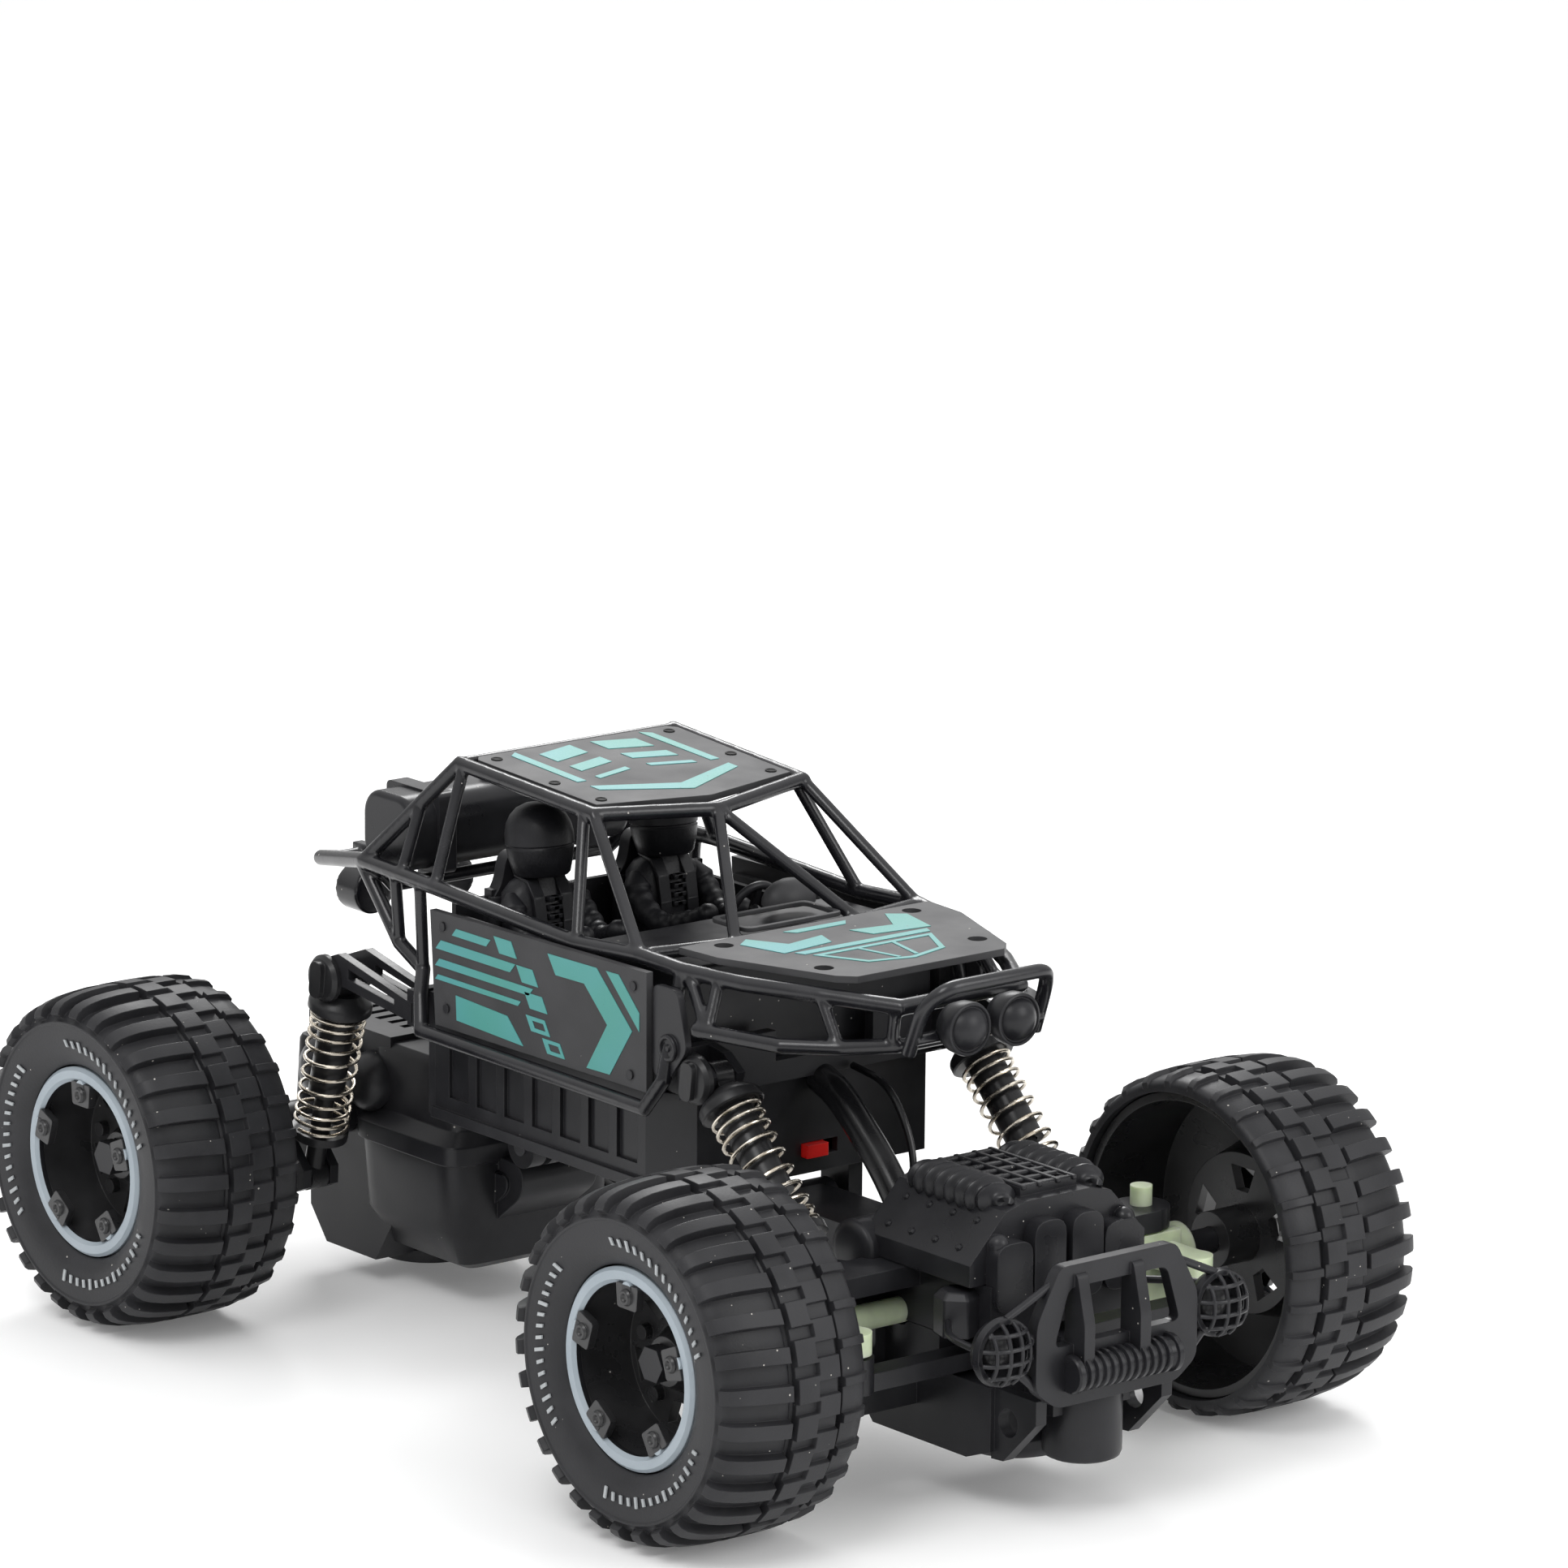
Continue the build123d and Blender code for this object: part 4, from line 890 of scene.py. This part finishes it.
def hose(start, end, radius, ribs):
    """A corrugated hose along x, its ribs set at a slant and its ends drawn shut."""
    around = 22
    rings_in_rib = 8
    rings = ribs * rings_in_rib
    points = []
    for ring in range(rings + 1):
        t = ring / rings
        swell = radius + 0.75 * math.cos(2 * math.pi * ribs * t)
        closing = min(1.0, 6 * t, 6 * (1 - t)) ** 0.5 if 0 < t < 1 else 0.0
        for step in range(around):
            angle = 2 * math.pi * step / around
            slant = 1.3 * math.cos(angle)
            out = math.cos(angle) * swell * closing * 1.15
            up = math.sin(angle) * swell * closing
            points.append(start.lerp(end, t) + Vector((slant, out, up)))
    return points, ring_faces(len(points), around, capped=False)


shapes = []
for side in SIDES.values():
    start = Vector((cover_low.x + 2.5, side * 12.6, cover_high.z - 2.4))
    shapes.append(hose(start, start + Vector((31.0, 0, 0)), 3.9, 9))
piece("intake_hoses", "front_axle", shapes, "engine_plastic")
# A raised grill over the slotted plate: four rails with seven bars across them.
RAILS_Y = (-7.2, -2.6, 2.6, 7.2)
GRILL_BARS = 7
grill_back, grill_front = cover_low.x + 4.0, cover_low.x + 33.0
grill_z = cover_high.z - 0.6
shapes = []
for y in RAILS_Y:
    shapes.append(box_shape((grill_back, y - 0.6, grill_z), (grill_front, y + 0.6, grill_z + 1.1)))
for step in range(GRILL_BARS):
    x = grill_back + 0.6 + 4.4 * step
    shapes.append(box_shape((x, -7.6, grill_z), (x + 1.2, 7.6, grill_z + 0.9)))
piece("intake_grill", "front_axle", shapes, "engine_plastic", bevel=0.25)

# Two rows of six-sided bolt heads on each sloping face: (distance from the middle, height).
BOLT_ROWS = ((17.6, 64.6), (22.6, 59.4))
BOLTS_IN_ROW = 4
bolt_head = [(-0.4, 0.0), (-0.4, 0.95), (0.25, 0.95), (0.6, 0.6), (0.6, 0.0)]
shapes = []
for step in range(BOLTS_IN_ROW):
    x = cover_low.x + 5.5 + 8.0 * step
    for out, z in BOLT_ROWS:
        shapes += turned_pair(bolt_head, (x, out, z), (0, 10.5, 10.0), 6)
piece("cover_bolts", "front_axle", shapes, "engine_plastic")

# Raised panels with arched tops on the cover's front face: (inner edge, outer edge, top).
ARCHES = ((0.9, 9.8, 65.0), (10.3, 20.4, 61.5))
ARCH_FOOT = 46.0
shapes = []
for inner, outer, top in ARCHES:
    for side in SIDES.values():
        a, b = side * inner, side * outer
        arch = softened([(a, ARCH_FOOT), (b, ARCH_FOOT), (b, top), (a, top)], 3.6)
        shapes.append(slab(arch, facing_forward(cover_high.x - 3.6), 4.0))
piece("cover_arches", "front_axle", shapes, "engine_plastic", bevel=0.9)


# --- Front gearbox

# Slotted webs under the upper arms, behind the drive shaft.
WEB_X = 90.2
WEB_THICKNESS = 1.8
web = [(20.0, 25.0), (20.0, 46.5), (30.0, 46.5), (30.0, 31.0), (27.0, 25.0)]
web_slot = [(23.5, 30.5), (23.5, 38.5), (26.5, 38.5), (26.5, 30.5)]
shapes = []
for side in SIDES.values():
    outline, hole = (
        softened([(side * across, up) for across, up in loop], 1.2) for loop in (web, web_slot)
    )
    shapes.append(slab(outline, facing_forward(WEB_X), WEB_THICKNESS, hole))
piece("front_arm_webs", "front_axle", shapes, "gearbox_plastic", bevel=0.3)

# Six-sided posts beside the gearbox, and the motor's end caps behind them.
POST_X, POST_Y = 120.0, 23.6
CAP_BEHIND, CAP_Z = 1.5, 52.5
post = [(40.5, 0.0), (40.5, 5.4), (49.0, 5.4), (50.6, 3.9), (50.6, 0.0)]
cap = [(19.0, 0.0), (19.0, 6.9), (26.8, 6.9), (27.6, 6.2), (28.0, 4.6), (28.2, 0.0)]
shapes = turned_pair(post, (POST_X, POST_Y, 0.0), UP, 6)
shapes += turned_pair(cap, (cover_low.x - CAP_BEHIND, 0.0, CAP_Z), LEFT, 36)
piece("front_gearbox_posts", "front_axle", shapes, "gearbox_plastic", bevel=0.4)

# Underneath: a round bowl, and the cup that holds the steering motor.
BOWL_X = 112.0
bowl = [(8.5, 0.0), (8.5, 9.0), (9.6, 12.2), (12.0, 14.6), (15.0, 15.8), (26.0, 16.2), (26.0, 0.0)]
shapes = [turned(bowl, (BOWL_X, 0.0, 0.0), UP, 44)]
piece("front_gearbox_bowl", "front_axle", shapes, "gearbox_plastic")
motor = middle("steering_motor")
cup = [
    (12.4, 0.0), (12.4, 7.4), (12.9, 8.4), (13.9, 8.8), (30.5, 8.8), (31.6, 8.2), (31.8, 6.5),
    (31.8, 0.0),
]
shapes = [turned(cup, (motor.x, motor.y, 0.0), UP, 36)]
piece(
    "steering_motor_cup", "front_axle", shapes, "gearbox_plastic", stands_for="steering_motor"
)


# --- Rear gearbox

rear_low, rear_high = low("rear_gearbox_upper"), high("rear_gearbox_upper")

# Domes on both sides: (x, size).
DOMES = ((-114.0, 1.0), (-98.0, 0.82))
DOME_Y, DOME_Z = 20.6, 50.0
dome = [(0.0, 0.0), (0.0, 9.0), (2.6, 8.8), (5.0, 7.7), (7.0, 5.7), (8.3, 3.0), (8.7, 0.0)]
shapes = []
for x, size in DOMES:
    profile = [(along * size, radius * size) for along, radius in dome]
    shapes += turned_pair(profile, (x, DOME_Y, DOME_Z), (0, 1, 0.35), 36)
piece("rear_gearbox_domes", "rear_axle", shapes, "gearbox_plastic")

# The housing swells towards its split line and steps in above and below it: (z, half size
# along x, half size along y). A nose with a rib on each side runs forward from it.
shell = [
    (8.5, 11.0, 13.0), (11.0, 15.5, 18.0), (20.0, 19.0, 23.0), (36.6, 19.6, 24.2),
    (37.0, 20.6, 25.4), (41.4, 20.6, 25.4), (44.5, 17.8, 21.8), (58.5, 17.4, 21.6),
    (60.6, 16.0, 20.2),
]
shell_x = (rear_low.x + rear_high.x) / 2
sections = [((shell_x, 0.0, z), half_x, half_y) for z, half_x, half_y in shell]
nose = softened([(-92.0, 7.5), (-66.0, 20.0), (-53.0, 30.0), (-53.0, 37.0), (-92.0, 40.0)], 4.0)
rib = softened([(-92.0, 12.0), (-70.0, 21.0), (-58.0, 30.0), (-58.0, 34.0), (-92.0, 36.0)], 3.0)
shapes = [loft(sections, 48, 9.0), slab(nose, facing_side(-11.0), 22.0)]
for y in (-11.8, 9.8):
    shapes.append(slab(rib, facing_side(y), 2.0))
piece("rear_gearbox_shell", "rear_axle", shapes, "gearbox_plastic", bevel=0.5)

# Screw towers at the back corners, a ribbed panel between them and ribs on the lower half.
PANEL_RIBS = 4
tower = [(41.0, 0.0), (41.0, 4.2), (55.6, 3.4), (56.6, 2.8), (56.6, 1.7), (55.0, 1.5), (55.0, 0.0)]
panel = softened(both_halves([(13.0, 43.0), (14.5, 45.0), (14.5, 57.0), (12.0, 59.5)]), 1.8)
back_face = rear_low.x - 0.9
shapes = turned_pair(tower, (rear_low.x + 2.0, 21.0, 0.0), UP, 24)
shapes.append(slab(panel, facing_forward(back_face - 1.6), 1.8))
for step in range(PANEL_RIBS):
    z = 45.6 + 3.2 * step
    shapes.append(box_shape((back_face - 2.6, -11.5, z), (back_face - 1.0, 11.5, z + 1.3)))
for y in (-13.0, 0.0, 13.0):
    shapes.append(box_shape((back_face - 1.6, y - 1.0, 15.0), (back_face + 0.4, y + 1.0, 36.4)))
piece("rear_gearbox_ribs", "rear_axle", shapes, "gearbox_plastic", bevel=0.4)


# --- Light bar

bar_low, bar_high = low("light_bar"), high("light_bar")
SPOT_X, SPOT_Y, SPOT_Z = 100.0, 7.0, 102.4
CROSS_BAR_X = 97.7
hoop_y = bar_high.y - 1.6
cross_bar_z = SPOT_Z - 2.0
hoop = [
    (bar_low.x + 1.6, hoop_y, bar_low.z + 1.6),
    (bar_high.x - 5.8, hoop_y - 0.4, bar_high.z - 6.2),
    (bar_high.x - 1.8, hoop_y - 3.8, bar_high.z - 1.6),
]
shapes = [
    tube(rounded(carried_across(hoop), 3.6), 1.65, 16),
    tube([(CROSS_BAR_X, -hoop_y, cross_bar_z), (CROSS_BAR_X, hoop_y, cross_bar_z)], 1.2, 12),
]
piece("light_bar_hoop", "chassis", shapes, "cage_plastic", stands_for="light_bar")
spot_lamp = [
    (-4.2, 0.0), (-4.2, 2.6), (-2.6, 4.9), (0.0, 5.9), (2.6, 6.1), (3.3, 5.9), (3.5, 5.4),
    (3.0, 5.0), (3.0, 4.8), (4.2, 4.2), (5.2, 2.8), (5.7, 1.3), (5.8, 0.0),
]
shapes = turned_pair(spot_lamp, (SPOT_X, SPOT_Y, SPOT_Z), FORWARD, 36)
piece("spot_lamps", "chassis", shapes, "gearbox_plastic")


# --- Cable sleeve and wire

# Both run from the chassis down to the front axle, and neither rides on a body.
sleeve_x = low("cable_sleeve").x
sleeve_run = [
    (sleeve_x - 1.0, 0.0, 78.0), (sleeve_x + 7.0, 0.0, 75.0), (66.0, 0.0, 62.0), (78.0, 0.0, 47.0),
]
wire_run = [
    (46.0, 7.0, 80.0), (58.0, 8.0, 78.0), (67.0, 7.5, 66.0), (69.0, 6.0, 56.0), (74.0, 4.0, 47.0),
]
sleeve_tube = tube(rounded(sleeve_run, 7.0, 10), 3.6, 22)
wire_tube = tube(rounded(wire_run, 8.0, 10), 0.85, 10)
for bent in (
    piece("cable_sleeve_tube", None, [sleeve_tube], "sleeve_rubber", stands_for="cable_sleeve"),
    piece("cable_wire", None, [wire_tube], "sleeve_rubber"),
):
    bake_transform(bent)


# --- Figures

# A figure's chest stands this far ahead of its back, and its helmet's middle this far below
# its top.
CHEST_AHEAD = 6.0
HELMET_BELOW_TOP = 8.6


def stretched(shape, scale, place):
    """A shape made round the origin, scaled along x, y and z and put in its place."""
    points, faces = shape
    return [Vector(a * b for a, b in zip(point, scale)) + place for point in points], faces


def helmet(centre):
    """A plain closed helmet with a seam round it and a neck opening. It has no face."""
    profile = [
        (-7.6, 0.0), (-7.6, 5.0), (-7.9, 5.9), (-7.3, 6.5), (-4.2, 7.3), (-1.6, 7.75), (-1.35, 7.5),
        (-1.05, 7.5), (-0.8, 7.85), (1.6, 7.8), (3.8, 7.3), (5.6, 6.3), (7.1, 4.8), (8.0, 2.8),
        (8.4, 0.0),
    ]
    return stretched(turned(profile, (0, 0, 0), (-0.12, 0, 1)), (1.1, 0.98, 1.04), centre)


def torso(x, y, z):
    """Hips, chest, shoulders and neck: (ahead, up, half depth, half width)."""
    sections = [
        (-0.2, 0.0, 6.2, 7.6), (0.0, 5.0, 6.3, 7.8), (0.1, 12.0, 6.2, 8.6), (0.0, 18.0, 5.6, 9.4),
        (-0.3, 21.5, 4.8, 9.2), (-0.4, 23.8, 3.9, 7.2), (-0.3, 25.2, 3.1, 4.2),
        (-0.2, 27.5, 2.9, 3.1),
    ]
    return loft([((x + ahead, y, z + up), deep, wide) for ahead, up, deep, wide in sections])


def sleeve_arm(x, y, side):
    """A bent arm whose sleeve is gathered in small folds, ending in a glove."""
    joints = [
        (0.5, 8.4, 108.0), (4.0, 10.0, 102.0), (12.0, 9.2, 97.0), (19.0, 6.8, 100.0),
        (23.5, 5.0, 102.0),
    ]
    path = rounded([(x + ahead, y + side * out, z) for ahead, out, z in joints], 5.0, 12)
    radii = []
    for index in range(len(path)):
        t = index / (len(path) - 1)
        folds = 0.22 * math.sin(t * 46.0) * (1 - 0.5 * t)
        radii.append(3.3 - 1.2 * t + folds)
    radii[0] = 1.4
    glove = [(-2.6, 0.0), (-2.4, 1.7), (-1.0, 2.5), (0.8, 2.5), (2.2, 1.7), (2.8, 0.0)]
    return [tube(path, radii, 18), turned(glove, path[-1], (0.6, 0, 0.5), 18)]


def harness(x, y, z):
    """Two shoulder straps with ribbed pads, a chest clip and a lap belt."""
    chest = Vector((x, y, z))
    front = [(-2.0, 25.4), (2.6, 24.4), (5.2, 21.0), (6.3, 15.0), (6.9, 8.0), (6.7, 3.0)]
    shapes = []

    def box_on_chest(lowest, highest):
        shapes.append(box_shape(chest + Vector(lowest), chest + Vector(highest)))

    for side in SIDES.values():
        for (x0, z0), (x1, z1) in zip(front, front[1:]):
            run = Vector((x1 - x0, 0, z1 - z0)).normalized()
            out = Vector((-run.z, 0, run.x))
            start = chest + Vector((x0, side * 3.9, z0)) - run * 0.2
            length = math.hypot(x1 - x0, z1 - z0) + 0.4
            strap = [(-1.6, 0.0), (1.6, 0.0), (1.6, length), (-1.6, length)]

            def on_chest(a, b, depth):
                return start + Vector((0, a, 0)) + run * b + out * (depth - 0.4)

            shapes.append(slab(strap, on_chest, 1.0))
        for step in range(4):
            rib_y, rib_z = side * 0.5, 20.2 - 2.1 * step
            box_on_chest((5.2, rib_y - 1.3, rib_z), (7.1, rib_y + 1.3, rib_z + 1.1))
    box_on_chest((5.8, -2.2, 9.2), (7.8, 2.2, 12.2))
    shapes.append(loft([((x, y, z + 2.6), 7.0, 8.5), ((x, y, z + 5.0), 7.0, 8.6)]))
    return shapes


for node in ("driver_figure", "passenger_figure"):
    base = low(node)
    x = base.x + CHEST_AHEAD
    y = middle(node).y
    head = Vector((x + 0.4, y, high(node).z - HELMET_BELOW_TOP))
    shapes = [torso(x, y, base.z), helmet(head)] + sleeve_arm(x, y, -1) + sleeve_arm(x, y, 1)
    piece(node + "_suit", "chassis", shapes, "suit_plastic", sharp=50.0, stands_for=node)
    piece(node + "_harness", "chassis", harness(x, y, base.z), "chassis_plastic", bevel=0.2)


# --- Cockpit details

cockpit_low, cockpit_high = low("cockpit_tub"), high("cockpit_tub")
SEAT_Y = 18.0
seat = softened(
    both_halves([(9.4, 82.0), (10.4, 96.0), (9.8, 106.0), (7.0, 109.0), (5.6, 116.5)]), 3.0
)
# A seat's side bolster: (ahead of the tub's back, out from the seat's middle, z).
bolster = [(4.5, 9.0, 84.0), (5.2, 9.6, 96.0), (4.2, 8.6, 106.5)]
shapes = []
for side in SIDES.values():
    y = side * SEAT_Y
    shapes.append(slab(seat, lambda a, b, c: (cockpit_low.x + 0.8 + c, y + a, b), 3.6))
    for edge in SIDES.values():
        path = [(cockpit_low.x + ahead, y + edge * out, z) for ahead, out, z in bolster]
        shapes.append(tube(rounded(path, 4.0), 1.7, 14))
piece("seat_shells", "chassis", shapes, "chassis_plastic", bevel=0.8)

# A hooded instrument pod before the driver, and a raised rim round the middle of the dash.
pod = [(0.0, 0.0), (0.0, 7.2), (1.6, 7.1), (3.4, 6.2), (4.8, 4.4), (5.6, 2.2), (5.8, 0.0)]
pod_place = Vector((9.0, SEAT_Y, cockpit_high.z - 3.0))
rim = softened([(20.0, -14.0), (34.0, -14.0), (34.0, 14.0), (20.0, 14.0)], 2.5)
inside = softened([(21.2, -12.6), (32.8, -12.6), (32.8, 12.6), (21.2, 12.6)], 2.0)
shapes = [
    stretched(turned(pod, (0, 0, 0), UP, 36), (0.62, 1.0, 1.0), pod_place),
    slab(rim, lambda a, b, c: (a, b, cockpit_high.z - 0.4 + c), 1.0, inside),
]
piece("dashboard", "chassis", shapes, "panel_plastic", bevel=0.3)


# --- Catch plates just ahead of the side panels, each with a ringed boss

panel_high = high("side_panel_left")
CATCH_Y, CATCH_THICKNESS = 41.9, 1.7
BOSS_X, BOSS_Y, BOSS_Z = 43.8, 43.4, 91.5
boss = [
    (0.0, 0.0), (0.0, 3.1), (0.9, 3.1), (1.2, 2.8), (1.2, 2.2), (0.5, 2.0), (0.5, 0.9), (1.0, 0.6),
    (1.0, 0.0),
]
catch_back = panel_high.x + 0.6
catch = softened(
    [(catch_back, 105.0), (catch_back, 84.5), (42.5, 83.0), (50.0, 92.0), (46.5, 105.0)], 2.0
)
for hand, side in SIDES.items():
    shapes = [
        slab(catch, lambda a, b, c: (a, side * (CATCH_Y + c), b), CATCH_THICKNESS),
        turned(boss, (BOSS_X, side * BOSS_Y, BOSS_Z), (0, side, 0), 28),
    ]
    piece(f"catch_plate_{hand}", "chassis", shapes, "chassis_plastic", bevel=0.4)


# --- Livery: a plain geometric pattern of bars, blocks and arrows

INK = 0.14


def stripe(start, end, bottom, top, slant):
    """A bar between two x places. Both ends lean forward by `slant` of its height."""
    lean = (top - bottom) * slant
    return [(start, bottom), (end, bottom), (end + lean, top), (start + lean, top)]


def on_both_sides(outlines):
    """Outlines of (x, y) pairs, each with its mirror image across the car's middle."""
    return [[(x, side * y) for x, y in outline] for outline in outlines for side in SIDES.values()]


def livery(name, place, blocks, frames=()):
    """Printed blocks, and frames that are each an outline and its hole."""
    shapes = [slab(outline, place, INK) for outline in blocks]
    shapes += [slab(outline, place, INK, hole) for outline, hole in frames]
    piece(name, "chassis", shapes, "panel_plastic", look="livery")


side_blocks = [
    stripe(-35.0, -22.0, 101.6, 103.4, 0.9),
    stripe(-41.2, -13.0, 97.4, 99.6, 0.9),
    stripe(-41.4, -6.0, 93.4, 95.2, 0.9),
    stripe(-41.4, -10.0, 90.2, 91.4, 0.9),
    [(-33.5, 87.8), (-33.2, 82.0), (-8.0, 81.2), (-14.0, 87.0)],
    stripe(-17.0, -10.5, 101.0, 104.6, -0.6),
    stripe(-8.5, -2.5, 96.0, 99.6, -0.6),
    stripe(-5.5, 1.0, 90.5, 94.0, -0.6),
    [(1.0, 104.6), (19.0, 104.9), (32.0, 93.0), (24.0, 81.4), (15.5, 81.2), (23.0, 92.6),
     (14.5, 100.4), (4.0, 100.2)],
    [(22.5, 104.9), (27.0, 105.0), (34.6, 97.6), (34.6, 93.4)],
]
side_frames = [
    (stripe(-5.0, 2.0, 85.4, 88.8, -0.6), stripe(-3.7, 0.4, 86.3, 87.9, -0.6)),
    (stripe(1.0, 7.5, 81.4, 84.6, -0.6), stripe(2.2, 6.0, 82.2, 83.8, -0.6)),
]
for hand, side in SIDES.items():
    livery(
        f"side_livery_{hand}", lambda a, b, c: (a, side * (panel_high.y + c), b),
        side_blocks, side_frames,
    )

hood_top = high("hood_panel").z
hood_blocks = on_both_sides([
    [(41.0, 20.0), (44.0, 24.0), (56.0, 21.0), (54.0, 6.0), (48.0, 4.0), (50.0, 15.0)],
    [(62.4, 5.4), (62.4, 4.4), (73.4, 1.9), (73.6, 2.9)],
]) + [
    [(57.0, -19.0), (57.0, 19.0), (59.4, 18.0), (59.4, -18.0)],
    [(40.5, -9.0), (40.5, 9.0), (43.0, 7.0), (43.0, -7.0)],
]
hood_frames = [(
    [(61.0, -17.0), (61.0, 17.0), (73.0, 11.0), (76.0, 0.0), (73.0, -11.0)],
    [(62.4, -15.0), (62.4, 15.0), (72.0, 10.0), (74.6, 0.0), (72.0, -10.0)],
)]
livery("hood_livery", lambda a, b, c: (a, b, hood_top + c), hood_blocks, hood_frames)

roof_low, roof_high = low("roof_panel"), high("roof_panel")
ROOF_THICKNESS = 1.6
roof_fall = roof_high.z - roof_low.z - ROOF_THICKNESS


def on_roof(x, y, depth):
    """A point on the sloping roof, which drops towards the windscreen."""
    share = (x - roof_low.x) / (roof_high.x - roof_low.x)
    return (x, y, roof_high.z - share * roof_fall + depth)


roof_blocks = on_both_sides([
    [(-46.0, 3.0), (-43.0, 14.0), (-36.0, 14.0), (-39.0, 3.0)],
    [(-34.5, 3.0), (-31.5, 14.0), (-27.0, 14.0), (-30.0, 3.0)],
    [(-25.0, 3.0), (-22.0, 14.0), (-20.0, 14.0), (-23.0, 3.0)],
    [(-47.0, 18.0), (-45.0, 20.5), (-20.0, 20.5), (-20.0, 18.0)],
]) + [
    [(-16.0, -20.0), (-8.0, 0.0), (-16.0, 20.0), (-12.5, 20.0), (-3.0, 0.0), (-12.5, -20.0)],
]
livery("roof_livery", on_roof, roof_blocks)


# --- Eyelets in the roof, their holes shown as near-black dishes of painted shade

EYELET_PLACES = ((-44.5, 25.0), (-22.0, 25.5), (-6.0, 24.5))
eyelet = [(-0.2, 0.0), (-0.2, 1.35), (0.22, 1.35), (0.3, 1.15), (0.1, 0.9), (0.02, 0.0)]
shapes = []
for x, y in EYELET_PLACES:
    shapes += turned_pair(eyelet, on_roof(x, y, 0.0), (0.06, 0, 1), 20)
# Each eyelet is a closed dish in the near-black painted shade that stands for its hole.
piece("roof_eyelets", "chassis", shapes, "panel_plastic", look="hole_painted_shade")


# --- Floor, lights and camera

floor_finish = Finish("studio_floor")
floor_finish.set(
    Base_Color=floor_finish.mixed(floor_finish.noise(3.0), (0.90, 0.90, 0.90), (0.93, 0.93, 0.93)),
    Emission_Color=(1.0, 1.0, 1.0),
    Emission_Strength=0.12,
    Roughness=0.75,
)
floor_mesh = bpy.data.meshes.new("floor")
FLOOR_REACH = 12.0
corners = [(x * FLOOR_REACH, y * FLOOR_REACH, 0) for x, y in ((-1, -1), (1, -1), (1, 1), (-1, 1))]
floor_mesh.from_pydata(corners, [], [(0, 1, 2, 3)])
floor_mesh.materials.append(floor_finish.material)
in_scene("floor", floor_mesh)

world = bpy.data.worlds.new("studio")
world.use_nodes = True
nodes, link = world.node_tree.nodes, world.node_tree.links.new
direction = nodes.new("ShaderNodeSeparateXYZ")
brighter_up = nodes.new("ShaderNodeMapRange")
brighter_up.inputs["To Min"].default_value = 0.45
brighter_up.inputs["To Max"].default_value = 1.2
link(nodes.new("ShaderNodeTexCoord").outputs["Generated"], direction.inputs[0])
link(direction.outputs["Z"], brighter_up.inputs["Value"])
link(brighter_up.outputs[0], nodes["Background"].inputs["Strength"])
nodes["Background"].inputs["Color"].default_value = (1.0, 1.0, 1.0, 1.0)
bpy.context.scene.world = world
bpy.context.scene.view_settings.view_transform = "Standard"


def area_light(name, place, target, size, power):
    data = bpy.data.lights.new(name, "AREA")
    data.size = size
    data.energy = power
    light = in_scene(name, data)
    light.location = place
    light.rotation_euler = (Vector(target) - Vector(place)).to_track_quat("-Z", "Y").to_euler()


centre = (cad_low + cad_high) / 2
area_light("key", (0.5, -0.9, 1.3), centre, 0.6, 7.0)
area_light("fill", (1.3, 0.6, 0.8), centre, 0.8, 7.0)
area_light("back", (-0.9, 0.7, 1.0), centre, 0.5, 8.0)

# The camera stands to the front right, a little above the roof, with a long lens.
AIM = Vector((-0.0051, 0.0277, 0.1325))
DISTANCE = 1.9
LENS, SENSOR_WIDTH = 190.2, 36.0
AZIMUTH, ELEVATION, ROLL = math.radians(51.11), math.radians(12.93), math.radians(0.5)
level = math.cos(ELEVATION)
back = Vector((math.sin(AZIMUTH) * level, -math.cos(AZIMUTH) * level, math.sin(ELEVATION)))
right = Vector((math.cos(AZIMUTH), math.sin(AZIMUTH), 0))
up = back.cross(right)
turned_right = right * math.cos(ROLL) + up * math.sin(ROLL)
turned_up = up * math.cos(ROLL) - right * math.sin(ROLL)
facing = Matrix((turned_right, turned_up, back)).transposed().to_4x4()
camera_data = bpy.data.cameras.new("camera")
camera_data.sensor_width = SENSOR_WIDTH
camera_data.lens = LENS
camera_data.clip_end = 30.0
camera = in_scene("camera", camera_data)
camera.matrix_world = Matrix.Translation(AIM + back * DISTANCE) @ facing
bpy.context.scene.camera = camera
